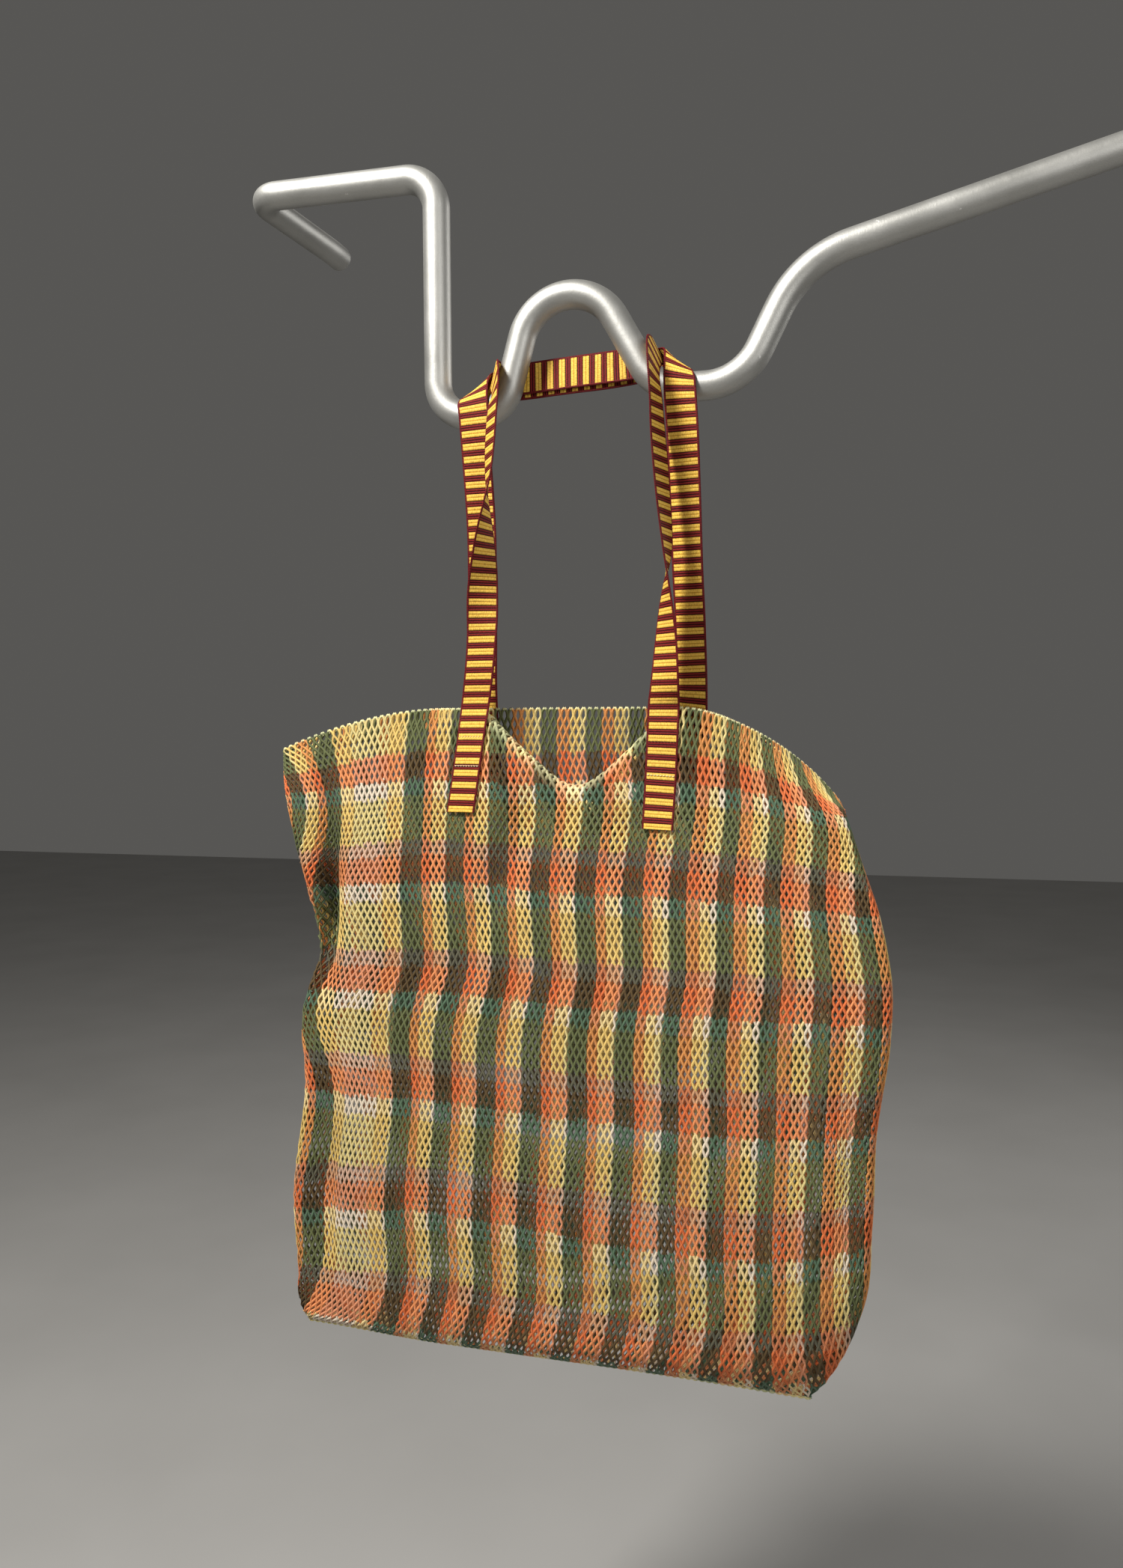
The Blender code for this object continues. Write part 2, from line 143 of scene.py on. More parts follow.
WEBBING_WIDTH = 25.0
WEBBING_THICKNESS = 1.6
FOOT_GAP = 1.0
FOOT_ROWS = 9
FEET = {
    "front_left": {"face": -1, "x_rim": 179.0, "x_end": 168.0, "drop": 78.0},
    "front_right": {"face": -1, "x_rim": 332.0, "x_end": 328.0, "drop": 90.0},
    "back_left": {"face": 1, "x_rim": 179.0, "x_end": 176.0, "drop": 82.0},
    "back_right": {"face": 1, "x_rim": 351.0, "x_end": 347.0, "drop": 84.0},
}
FRONT_HANDLE = (
    # x, y, z, across_x, across_y, across_z
    (183, -144, -400, 1.0, -0.05, 0.0),
    (187, -146, -364, 1.0, 0.05, 0.0),
    (189, -149, -331, 0.86, 0.51, 0.0),
    (191, -151, -307, 0.58, 0.81, 0.0),
    (193, -154, -286, 0.24, 0.97, 0.0),
    (195, -156, -265, -0.16, 0.98, 0.0),
    (197, -157, -245, -0.44, 0.89, 0.0),
    (199, -158, -221, -0.57, 0.82, 0.0),
    (201, -159, -200, -0.58, 0.81, 0.0),
    (202.3, -158, -186, -0.56, 0.82, -0.10),
    (202.5, -153.5, -174.5, -0.46, 0.75, -0.45),
    (199, -144.5, -164.3, -0.37, 0.40, -0.83),
    (195.7, -133.5, -161, -0.27, 0.10, -0.95),
    (198, -122.5, -161.5, -0.26, 0.0, -0.97),
    (206, -118.6, -161, -0.10, 0.0, -1.0),
    (220, -118.6, -160.5, 0.0, 0.0, -1.0),
    (238, -118.6, -159.5, 0.0, 0.0, -1.0),
    (258, -118.6, -158.5, 0.0, 0.0, -1.0),
    (280, -118.6, -157.5, 0.0, 0.0, -1.0),
    (298, -118.6, -156.5, 0.06, 0.0, -1.0),
    (311, -118.3, -155, 0.18, 0.0, -0.98),
    (319, -119.8, -153.4, 0.32, 0.0, -0.95),
    (325, -126, -151.8, 0.41, 0.0, -0.91),
    (326.3, -136, -152.6, 0.42, 0.15, -0.89),
    (326.2, -147, -156.5, 0.36, 0.45, -0.80),
    (327, -155.5, -164, 0.26, 0.76, -0.58),
    (328, -160, -175, 0.20, 0.93, -0.30),
    (329.5, -161, -190, 0.20, 0.97, 0.0),
    (331, -159, -218, 0.28, 0.95, 0.0),
    (334, -156, -262, 0.28, 0.96, 0.0),
    (337, -153, -311, 0.03, 0.99, 0.0),
    (336, -151.5, -330, -0.30, 0.95, 0.0),
    (335.5, -150, -348, -0.55, 0.83, 0.0),
    (335, -148, -378, -0.81, 0.58, 0.0),
    (333.5, -145.5, -410, -0.96, 0.26, 0.0),
)
BACK_HANDLE = (
    # x, y, z, across_x, across_y, across_z
    (179, -122, -405, 1.0, 0.0, 0.0),
    (180, -124, -370, 1.0, 0.0, 0.0),
    (182, -129, -330, 1.0, -0.03, 0.0),
    (184, -136, -280, 1.0, -0.05, 0.0),
    (183, -141, -235, 1.0, -0.05, 0.0),
    (182, -144.4, -206, 1.0, -0.05, 0.03),
    (181.5, -144.8, -192, 0.99, 0.05, 0.08),
    (180.3, -143.5, -182, 0.95, 0.15, 0.20),
    (180, -138.5, -174, 0.85, 0.20, 0.45),
    (181.5, -132, -168.5, 0.72, 0.10, 0.68),
    (186, -122.5, -165.5, 0.45, 0.0, 0.89),
    (196, -116.8, -164.5, 0.20, 0.0, 0.98),
    (207, -115.6, -164.3, 0.05, 0.0, 1.0),
    (220, -115.6, -164, 0.0, 0.0, 1.0),
    (238, -115.6, -163, 0.0, 0.0, 1.0),
    (258, -115.6, -162, 0.0, 0.0, 1.0),
    (282, -115.6, -161, 0.0, 0.0, 1.0),
    (305, -115.6, -159, -0.10, 0.0, 1.0),
    (320.5, -116.1, -157, -0.26, 0.0, 0.96),
    (331, -119.5, -157, -0.50, -0.05, 0.86),
    (337.7, -127.5, -158.5, -0.64, -0.12, 0.76),
    (341.7, -135.5, -162, -0.80, -0.10, 0.59),
    (343.9, -142.3, -168, -0.91, 0.0, 0.41),
    (345, -145, -178, -0.98, 0.0, 0.17),
    (345.6, -145.5, -189, -1.0, 0.0, 0.05),
    (347, -144.5, -213, -1.0, 0.03, 0.0),
    (348, -137, -262, -1.0, 0.10, 0.0),
    (349, -130, -319, -1.0, 0.15, 0.0),
    (350, -124, -359, -1.0, 0.15, 0.0),
    (351, -122, -404, -1.0, 0.10, 0.0),
)

# ---- cloth tables: how the knitted fabric lies on that shape

# Fabric width coordinate at five places across the front, for each drop.
# s runs round the bag from the left side fold; the whole girth is GIRTH.
GIRTH = 990.0
FABRIC_PLACES = (0.0, 0.25, 0.5, 0.75, 1.0)
FABRIC_ROWS = (
    # drop, s at 0, 1/4, 1/2, 3/4 and 1 of the way across
    (0, -41, 62, 187, 293, 452),
    (55, -65, 69, 186, 301, 437),
    (145, -27, 85, 205, 324, 453),
    (235, -13, 95, 214, 337, 454),
    (325, -34, 95, 211, 331, 454),
    (415, -31, 89, 207, 329, 457),
    (470, -26, 91, 208, 325, 449),
    (505, -12, 97, 207, 315, 418),
    (525, 12, 104, 206, 303, 391),
)
# How far the weft bands hang from the drop that they would have on an even bag.
WEFT_SLIPS = (
    # drop, slip at 0, 1/4, 1/2, 3/4 and 1 of the way across
    (0, 0, 0, 0, 0, 0),
    (55, 0.0, 6.0, 1.0, 5.0, 4.5),
    (145, -0.5, 4.5, -0.5, -3.0, -1.5),
    (235, -6.0, 1.5, -0.5, -4.5, -6.5),
    (325, -3.5, 2.0, 1.0, -3.5, -2.5),
    (415, -9.0, 1.5, 0.0, -7.0, -11.0),
    (485, -1.0, 4.0, 0.0, -4.5, -7.5),
    (525, -14.0, -10.0, -8.0, -7.0, -8.0),
)
# On the back, how far from the left side fold the fabric lies at 1/4, 1/2 and 3/4 of the way across.
BACK_PLACES = (155.0, 266.0, 386.0)
# Places across one face of the bag, closest together at the side folds.
ACROSS = 0.5 - 0.5 * np.cos(np.linspace(0.0, math.pi, 361))

# Wales: zigzag strands down the bag. FIRST_WALE is where the first one's field starts.
# Two wales touch along twice KNOT_RUN, and each stays KNOT_GAP short of the line between them.
WALES = 384
WALE_PITCH = GIRTH / WALES
FIRST_WALE = -60.0
KNIT_ROWS = 93
KNIT_PITCH = NET_DEPTH / KNIT_ROWS
STRAND_HALF_WIDTH = 1.2
STRAND_HALF_DEPTH = 0.66
STRAND_SIDES = 4
KNOT_GAP = 0.22
KNOT_RUN = 0.40
# Near the crest of the mouth's roll the strands crowd, and a painted highlight pales them there.
CREST_REACH = 6.0
CREST_SWELL = 0.6
CREST_PAINTED_HIGHLIGHT = 0.5
# The rim's arches that join the wales in pairs: drops, and swings towards the partner.
ARCH_DROPS = (0.0, 0.4, 1.3, 2.2)
ARCH_SWINGS = (1.0, 0.62, 0.10, -0.30)
# Rows with a place more between their knots, where the front rolls over at the mouth.
FINE_ROWS = 22
FIRST_FINE_SWING = -0.5
# The net's four pieces round the bag, and the fabric coordinate where the first one starts.
NET_PIECES = ("net_front_left", "net_front_right", "net_back_right", "net_back_left")
FRONT_START = -42.0

# How many wales away the neighbours lie that give a wale its normal.
NORMAL_REACH = 2

# The wales' way under the bag to the seam along its bottom, as shares of the way.
SEAM_REACH = (0.45, 0.8, 1.0)
SEAM_DROP = 1.6
SEAM_Y = -132.0
# The seam's scalloped cord: a loop every SEAM_LOOP, which is SEAM_LOOP_PLACES of its steps.
# Each loop has one seed for its shade, out of the range SEAM_SEEDS.
SEAM_STEP = 0.6
SEAM_LOOP = 5.5
SEAM_LOOP_PLACES = 9
SEAM_WAVE = 0.9
SEAM_HALF = 0.95
SEAM_THINNEST = 0.75
SEAM_TIP = 0.05
SEAM_SIDES = 6
SEAM_COLOUR_DROP = 521.0
SEAM_SEEDS = (0.5, 1.0)

# Warp stripes, as (first place, kind). Kinds: 0 orange, 1 yellow, 2 cream, 3 green.
WIDE_STRIPES = ((0, 1), (15, 2), (48, 1), (60, 2), (64, 3))
WIDE_WIDTH = 81.0
STRIPES = ((0, 0), (9, 1), (18, 2), (21, 3))
STRIPE_REPEAT = 36.0
LEFT_GREEN = 18.0

# ---- small helpers


def smooth_step(start, end, value):
    """0 before start, 1 after end, with a soft S between them."""
    part = np.clip((value - start) / (end - start), 0.0, 1.0)
    return part * part * (3.0 - 2.0 * part)


def closing(across, power):
    """How far a face stands out at a share of its width: 0 at the side folds, 1 in the middle."""
    return (1.0 - np.abs(2.0 * across - 1.0) ** power) ** (1.0 / power)


def spline_rows(places, values, where):
    """Reads smooth curves through rows of values at the places given by where."""
    places = np.asarray(places, float)
    values = np.asarray(values, float)
    where = np.asarray(where, float)
    shape = (-1,) + (1,) * (values.ndim - 1)
    gaps = np.diff(places)
    slopes = np.diff(values, axis=0) / gaps.reshape(shape)
    wide = gaps.reshape(shape)
    tangents = np.empty_like(values)
    tangents[0], tangents[-1] = slopes[0], slopes[-1]
    tangents[1:-1] = (slopes[:-1] * wide[1:] + slopes[1:] * wide[:-1]) / (wide[:-1] + wide[1:])
    i = np.clip(np.searchsorted(places, where, side="right") - 1, 0, len(places) - 2)
    step = gaps[i].reshape(shape)
    t = np.clip((where - places[i]) / gaps[i], 0.0, 1.0).reshape(shape)
    return (
        values[i] * (2 * t**3 - 3 * t**2 + 1)
        + tangents[i] * ((t**3 - 2 * t**2 + t) * step)
        + values[i + 1] * (3 * t**2 - 2 * t**3)
        + tangents[i + 1] * ((t**3 - t**2) * step)
    )


def running_length(places):
    """Length along a line of places, from 0 at its first."""
    return np.concatenate([[0.0], np.cumsum(np.linalg.norm(np.diff(places, axis=0), axis=1))])


def unit(vectors):
    return vectors / np.maximum(np.linalg.norm(vectors, axis=-1, keepdims=True), 1e-9)


def stacked(shape, *values):
    """The values side by side for each point, each spread over the whole shape."""
    return np.stack([np.broadcast_to(value, shape) for value in values], -1)


def new_object(name, data):
    obj = bpy.data.objects.new(name, data)
    bpy.context.scene.collection.objects.link(obj)
    return obj


def quad_object(name, verts, quads, material):
    """A mesh object from arrays: places in millimetres, and faces of four corners each."""
    mesh = bpy.data.meshes.new(name)
    mesh.vertices.add(verts.size // 3)
    mesh.vertices.foreach_set("co", (verts * MM).astype(np.float32).ravel())
    mesh.loops.add(quads.size)
    mesh.loops.foreach_set("vertex_index", quads.astype(np.int32).ravel())
    mesh.polygons.add(len(quads))
    mesh.polygons.foreach_set("loop_start", np.arange(0, quads.size, 4, dtype=np.int32))
    mesh.update(calc_edges=True)
    mesh.shade_smooth()
    mesh.materials.append(material)
    return new_object(name, mesh)


def add_point_vectors(obj, name, values):
    layer = obj.data.attributes.new(name, "FLOAT_VECTOR", "POINT")
    layer.data.foreach_set("vector", np.ascontiguousarray(values, np.float32).ravel())


def add_flat_map(obj, values):
    """One UV place for each corner of each face."""
    layer = obj.data.uv_layers.new(name="OFBake")
    layer.data.foreach_set("uv", np.ascontiguousarray(values, np.float32).ravel())


def dress(obj, node):
    """The piece rides on the part's one body and stands for a CAD node."""
    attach(obj, "root")
    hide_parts(node)


def tubes(centres, normals, half_width, half_depth, sides):
    """Corners of tubes along many paths at once, by path, place and side.

    centres and normals are (path, place, 3) arrays. Each corner's offset to the side comes too."""
    along = unit(np.gradient(centres, axis=1))
    side = unit(np.cross(along, normals))
    out = unit(np.cross(side, along))
    angles = 2.0 * math.pi * np.arange(sides) / sides
    across = np.sin(angles)[None, None, :] * half_width[:, :, None]
    deep = np.cos(angles)[None, None, :] * half_depth[:, :, None]
    verts = centres[:, :, None] + side[:, :, None] * across[..., None] + out[:, :, None] * deep[..., None]
    return verts, across


def tube_faces(paths, places, sides):
    """The corners' numbers by path, place and side, and the faces between them."""
    index = np.arange(paths * places * sides).reshape(paths, places, sides)
    after = np.roll(index, -1, axis=2)
    faces = np.stack([index[:, :-1], after[:, :-1], after[:, 1:], index[:, 1:]], -1)
    return index, faces.reshape(-1, 4)


# ---- the bag's surface


def mouth_bow(x):
    """1 in the middle of the mouth's dip, and 0 at both its ends."""
    part = np.minimum(np.abs(x - ROLL_CENTRE) / MOUTH_HALF, 1.0)
    return np.cos(math.pi / 2.0 * part) ** 2


def roll_line(x):
    """Height of the crest over which the front hangs back into the mouth."""
    return ROLL_LOWEST + np.hypot(ROLL_SLOPE * (x - ROLL_CENTRE), ROLL_SOFTNESS) - ROLL_SOFTNESS


def rolled(places):
    """The front's places when the cloth above the roll line hangs down inside the bag."""
    x, y, z = places[..., 0], places[..., 1], places[..., 2]
    line = roll_line(x)
    radius = ROLL_RADIUS + ROLL_SOFT_MIDDLE * mouth_bow(x)
    quarter = radius * math.pi / 2.0
    past = z - (line - radius) - quarter
    turn = np.clip(past / radius, -math.pi / 2.0, math.pi / 2.0)
    over = past > -quarter
    y = np.where(over, y + radius * (1.0 + np.sin(turn)), y)
    hung = line - radius * (1.0 - np.cos(turn)) - np.maximum(past - quarter, 0.0)
    return np.stack([x, y, np.where(over, hung, z)], -1)


def rim_points(face, across):
    x = RIM_LEFT + (RIM_RIGHT - RIM_LEFT) * across
    z = RIM_TOP
    for start, end, fall, power in RIM_FALLS:
        z = z - fall * np.maximum((x - start) / (end - start), 0.0) ** power
    leaning = smooth_step(RIM_LEAN_FROM, RIM_RIGHT, x)
    half_depth = RIM_HALF_DEPTH * closing(across, RIM_ROUNDNESS)
    y = RAIL_PLANE + RIM_LEAN * leaning + face * half_depth * (1.0 - RIM_LEAN_CLOSE * leaning)
    z = z - RIM_LEAN_TILT * leaning * (face * half_depth + RIM_LEAN_DROP)
    if face > 0:
        y = y + MOUTH_BOW * mouth_bow(x)
    return np.stack([x, y, z], -1)


def line_points(face, across, line):
    _, z, lift_l, lift_r, left, right, fold_l, fold_r, front_l, front_m, front_r, back = line
    z = z + lift_l * (1.0 - smooth_step(0.0, LEFT_LIFT_SPAN, across))
    z = z + lift_r * np.maximum((across - RIGHT_LIFT_START) / (1.0 - RIGHT_LIFT_START), 0.0) ** 2
    swell = back
    if face < 0:
        swell = np.interp(across, (0.0, 0.5, 1.0), (front_l, front_m, front_r))
    y = fold_l + (fold_r - fold_l) * across + face * swell * closing(across, BODY_ROUNDNESS)
    return np.stack([left + (right - left) * across, y, z], -1)


def trough(x, drop, x_top, x_bottom, half_width, depth, top, deepest, bottom):
    """Depth of one soft trough at x, which runs down from x_top at its top to x_bottom."""
    middle = x_top + (x_bottom - x_top) * (drop - top) / (bottom - top)
    run = smooth_step(top, deepest, drop) * (1.0 - smooth_step(deepest, bottom, drop))
    return depth * run * np.exp(-(((x - middle) / half_width) ** 2))


def pocketed(places, drop):
    """The front's places at one drop, pushed in at the pocket."""
    places = places.copy()
    places[:, 1] += trough(places[:, 0], drop, **POCKET)
    return places


def fold_depth(face, x, drop):
    """How far all the folds push one face in at x and drop."""
    total = np.zeros_like(x)
    for *shape, back_share in FOLDS:
        share = 1.0 if face < 0 else back_share
        total += share * trough(x, drop, *shape)
    return total


LINE_DROPS = [0.0] + [float(line[0]) for line in NET_LINES]


def net_points(face, across, drops):
    """Places on one face of the bag, as a (drop, across, 3) array."""
    drops = np.asarray(drops, float)
    stack = np.stack([rim_points(face, across)] + [line_points(face, across, line) for line in NET_LINES])
    places = spline_rows(LINE_DROPS, stack, drops)
    places[..., 1] += fold_depth(face, places[..., 0], drops[:, None])
    return places


def round_bag(front, back):
    """Values round the bag, from those across its front and those across its back."""
    return np.concatenate([front, back[::-1][1:]])


def girth_lines(drops):
    """For each drop: the fabric coordinate along the girth, and the place on the bag with the
    weft's slip there, front then back."""
    front = net_points(-1, ACROSS, drops)
    back = net_points(1, ACROSS, drops)
    knots = spline_rows([row[0] for row in FABRIC_ROWS], [row[1:] for row in FABRIC_ROWS], drops)
    slips = spline_rows([row[0] for row in WEFT_SLIPS], [row[1:] for row in WEFT_SLIPS], drops)
    lines = []
    for row, drop in enumerate(drops):
        front_arc, back_arc = (running_length(face[row][:, :2]) for face in (front, back))
        front_arc, back_arc = front_arc / front_arc[-1], back_arc / back_arc[-1]
        back_knots = [knots[row][0] + GIRTH, *(GIRTH - place for place in BACK_PLACES), knots[row][-1]]
        s = round_bag(spline_rows(FABRIC_PLACES, knots[row], front_arc),
                      spline_rows(FABRIC_PLACES, back_knots, back_arc))
        slip = round_bag(spline_rows(FABRIC_PLACES, slips[row], front_arc),
                         slips[row][0] + (slips[row][-1] - slips[row][0]) * back_arc)
        places = round_bag(rolled(pocketed(front[row], drop)), back[row])
        lines.append((s, np.column_stack([places, slip])))
    return lines


def fabric_coordinate(across):
    """The fabric coordinate along the bottom edge of the front."""
    return spline_rows(FABRIC_PLACES, FABRIC_ROWS[-1][1:], across)


def fabric_places(lines, s_rows):
    """Places and slips of the fabric coordinates s_rows[row] on each row's line."""
    out = np.empty(s_rows.shape + (4,))
    for row, (s, places) in enumerate(lines):
        wrapped = s[0] + np.mod(s_rows[row] - s[0], GIRTH)
        for k in range(4):
            out[row, :, k] = np.interp(wrapped, s, places[:, k])
    return out


# ---- materials


class Nodes:
    """Short calls for building a node tree. A feed is a socket or a plain value."""

    def __init__(self, name):
        self.material = bpy.data.materials.new(name)
        self.material.use_nodes = True
        self.tree = self.material.node_tree
        self.shader = self.tree.nodes["Principled BSDF"]

    def add(self, kind, **settings):
        node = self.tree.nodes.new(kind)
        for key, value in settings.items():
            setattr(node, key, value)
        return node

    def feed(self, socket, value):
        if isinstance(value, bpy.types.NodeSocket):
            self.tree.links.new(value, socket)
        else:
            socket.default_value = value

    def feeds(self, node, values):
        for name, value in values.items():
            self.feed(node.inputs[name], value)

    def math(self, operation, *values):
        node = self.add("ShaderNodeMath", operation=operation)
        for socket, value in zip(node.inputs, values):
            self.feed(socket, value)
        return node.outputs[0]

    def attribute(self, name):
        return self.add("ShaderNodeAttribute", attribute_name=name).outputs["Vector"]

    def parts(self, vector):
        split = self.add("ShaderNodeSeparateXYZ")
        self.feed(split.inputs[0], vector)
        return split.outputs

    def scaled(self, vector, scale):
        mapping = self.add("ShaderNodeMapping")
        self.feeds(mapping, {"Vector": vector, "Scale": scale})
        return mapping.outputs[0]

    def place(self, scale=(1.0, 1.0, 1.0)):
        return self.scaled(self.add("ShaderNodeTexCoord").outputs["Object"], scale)

    def ramp(self, factor, stops, interpolation="LINEAR"):
        """Colours between the stops along the factor. A stop's plain number stands for a grey."""
        node = self.add("ShaderNodeValToRGB")
        ramp = node.color_ramp
        ramp.interpolation = interpolation
        while len(ramp.elements) < len(stops):
            ramp.elements.new(1.0)
        for element, (place, colour) in zip(ramp.elements, stops):
            element.position = place
            rgb = colour[:3] if isinstance(colour, tuple) else (colour,) * 3
            element.color = (*rgb, 1.0)
        self.feed(node.inputs[0], factor)
        return node.outputs[0]

    def mix(self, factor, a, b, blend="MIX"):
        node = self.add("ShaderNodeMix", data_type="RGBA", blend_type=blend)
        self.feed(node.inputs["Factor"], factor)
        self.feed(node.inputs[6], a)
        self.feed(node.inputs[7], b)
        return node.outputs[2]

    def shade(self, colour, factor, dark, light):
        """The colour, darkened between two stops along the factor."""
        return self.mix(1.0, colour, self.ramp(factor, (dark, light)), "MULTIPLY")

    def noise(self, vector, scale, detail=2.0, roughness=0.5):
        node = self.add("ShaderNodeTexNoise")
        self.feeds(node, {"Vector": vector, "Scale": scale, "Detail": detail, "Roughness": roughness})
        return node.outputs["Fac"]

    def bump(self, height, strength, distance):
        node = self.add("ShaderNodeBump")
        self.feeds(node, {"Height": height, "Strength": strength, "Distance": distance})
        self.feed(self.shader.inputs["Normal"], node.outputs[0])

    def finish(self, colour, roughness, **constants):
        self.feeds(self.shader, {"Base Color": colour, "Roughness": roughness, **constants})


def srgb(red, green, blue):
    """An 8-bit screen colour as a linear one."""
    def linear(value):
        value /= 255.0
        return value / 12.92 if value <= 0.04045 else ((value + 0.055) / 1.055) ** 2.4
    return (linear(red), linear(green), linear(blue), 1.0)


# Strand colours on an 8-bit screen, by weft band and then by the wale's own kind.
YARN_COLOURS = (
    # orange wale, yellow wale, cream wale, green wale
    ((229, 152, 103), (249, 223, 160), (243, 227, 204), (93, 119, 95)),
    ((226, 154, 88), (240, 206, 123), (235, 216, 148), (109, 116, 76)),
    ((214, 133, 90), (224, 171, 129), (226, 188, 162), (101, 99, 81)),
    ((235, 124, 71), (245, 157, 101), (236, 159, 118), (98, 79, 50)),
)
# Weft bands, as (first place, band). Bands: 0 white, 1 yellow, 2 lavender, 3 orange.
WEFT_REPEAT = 90.0
WEFT_FIRST = 55.0
WEFT_BANDS = ((0.0, 0), (15.0, 1), (54.0, 2), (67.0, 3))
TOP_YELLOW = 33.0
WEFT_BLUR = 2.5
THREADS = 3.0
# A pale thread binds the cloth above the first of these drops and below the second.
RIM_THREAD = 1.0
SEAM_THREAD = 520.0
EDGE_COLOUR = srgb(226, 226, 178)
EDGE_PALENESS = 0.55


def plaid_colour(nodes, kind, drop, seed):
    """The yarn's colour: its wale's kind, in the weft band at its drop."""
    ragged = nodes.math("MULTIPLY_ADD", seed, 2.0 * WEFT_BLUR, nodes.math("SUBTRACT", drop, WEFT_BLUR))
    phase = nodes.math("MODULO", nodes.math("ADD", ragged, 2 * WEFT_REPEAT - WEFT_FIRST), WEFT_REPEAT)
    phase = nodes.math("DIVIDE", phase, WEFT_REPEAT)
    bands = len(WEFT_BANDS)
    stops = [(place / WEFT_REPEAT, band / bands) for place, band in WEFT_BANDS]
    band = nodes.math("MULTIPLY", nodes.ramp(phase, stops, "CONSTANT"), float(bands))
    # Down to TOP_YELLOW the cloth is all in band 1.
    at_top = nodes.math("LESS_THAN", ragged, TOP_YELLOW)
    band = nodes.math("ADD", nodes.math("MULTIPLY", band, nodes.math("SUBTRACT", 1.0, at_top)), at_top)
    colours = [srgb(*colour) for row in YARN_COLOURS for colour in row]
    index = nodes.math("ADD", nodes.math("MULTIPLY", band, float(len(colours) // bands)), kind)
    index = nodes.math("DIVIDE", nodes.math("ADD", index, 0.5), float(len(colours)))
    stops = [(k / len(colours), colour) for k, colour in enumerate(colours)]
    return nodes.ramp(index, stops, "CONSTANT")


def net_material(name):
    """Yarn dyed in warp stripes, crossed by weft bands that tint it."""
    nodes = Nodes(name)
    kind, depth_share, seed = nodes.parts(nodes.attribute("yarn"))
    lay, crest, _ = nodes.parts(nodes.attribute("lay"))
    drop = nodes.math("MULTIPLY", depth_share, NET_DEPTH)
    colour = plaid_colour(nodes, kind, drop, seed)
    # Each strand is a little lighter or darker, and the yarn is flecked along its length.
    colour = nodes.shade(colour, seed, (0.0, 0.80), (1.0, 1.0))
    flecks = nodes.noise(nodes.place((1.0, 1.0, 0.14)), scale=1900.0)
    colour = nodes.shade(colour, flecks, (0.30, 0.74), (0.62, 1.0))
    # Its threads lie side by side in each strand, with painted shade in the groove between them.
    round_thread = nodes.math("COSINE", nodes.math("MULTIPLY", lay, THREADS * math.pi))
    threads = nodes.math("MULTIPLY_ADD", round_thread, 0.5, 0.5)
    painted_groove_shade = nodes.ramp(threads, ((0.0, (0.55, 0.53, 0.50)), (0.25, 1.0)))
    colour = nodes.mix(1.0, colour, painted_groove_shade, "MULTIPLY")
    # The binding threads at the rim and seam are pale; the roll's crest gets a painted highlight.
    at_edge = nodes.math("ADD", nodes.math("LESS_THAN", drop, RIM_THREAD),
                         nodes.math("GREATER_THAN", drop, SEAM_THREAD))
    pale_thread_and_painted_highlight = nodes.math("MAXIMUM", nodes.math("MULTIPLY", at_edge, EDGE_PALENESS),
                      nodes.math("MULTIPLY", crest, CREST_PAINTED_HIGHLIGHT))
    nodes.finish(
        colour=nodes.mix(pale_thread_and_painted_highlight, colour, EDGE_COLOUR),
        roughness=nodes.ramp(flecks, ((0.3, 0.62), (0.7, 0.86))),
        **{"Sheen Weight": 0.04, "Sheen Roughness": 0.4, "Specular IOR Level": 0.22},
    )
    nodes.bump(nodes.math("ADD", threads, flecks), strength=0.35, distance=0.0003)
    return nodes.material


MAROON = srgb(134, 36, 34)
# Painted shade for the maroon ribs' edges and the grooves between the bars.
MAROON_PAINTED_SHADE = srgb(52, 2, 4)
MUSTARD = srgb(246, 204, 92)
# Painted shade for the mustard ribs' edges and the groove after them.
MUSTARD_PAINTED_EDGE_SHADE = srgb(206, 152, 44)
MUSTARD_PAINTED_GROOVE_SHADE = srgb(150, 98, 22)
SELVAGE_COLOUR = srgb(118, 22, 28)
# Ribs along one repeat of the webbing, in millimetres.
BAR_REPEAT = 9.8
RIBS = (
    # start, end, height, colours of its edges and crown, and of the groove after it; the edges' and
    # grooves' colours are painted shade
    (0.15, 2.55, 1.0, MUSTARD_PAINTED_EDGE_SHADE, MUSTARD, MUSTARD_PAINTED_GROOVE_SHADE),
    (2.70, 5.10, 1.0, MUSTARD_PAINTED_EDGE_SHADE, MUSTARD, MAROON_PAINTED_SHADE),
    (5.80, 7.15, 0.72, MAROON_PAINTED_SHADE, MAROON, MAROON_PAINTED_SHADE),
    (7.80, 9.15, 0.72, MAROON_PAINTED_SHADE, MAROON, MAROON_PAINTED_SHADE),
)
RIB_EDGE = 0.22
GROOVE_START = 0.08
# The selvage's start as a share of the half width, and the run of one bead of its cord.
SELVAGE = 0.86
SELVAGE_BEAD = 1.3


def bar_stops():
    """Colour stops along one repeat: ribs with painted shade at their edges, so lighter on their crowns,
    and painted shade in the grooves.
    """
    stops = [(0.0, MAROON_PAINTED_SHADE)]
    for start, end, _, edge_shade, crown, painted_groove_shade in RIBS:
        rise = RIB_EDGE * (end - start)
        for place, colour in ((start, edge_shade), (start + rise, crown), (end - rise, crown), (end, edge_shade)):
            stops.append((place / BAR_REPEAT, colour))
        stops.append(((end + GROOVE_START) / BAR_REPEAT, painted_groove_shade))
    return stops


def rib_height(run):
    """Height of the ribs, from 0 in the gaps to 1 on the tallest crown."""
    phase = np.mod(run, BAR_REPEAT)
    height = np.zeros_like(run)
    for start, end, crown, *_ in RIBS:
        reach = np.clip(1.0 - ((phase - (start + end) / 2.0) / ((end - start) / 2.0)) ** 2, 0.0, 1.0)
        height = np.maximum(height, crown * np.sqrt(reach))
    return height


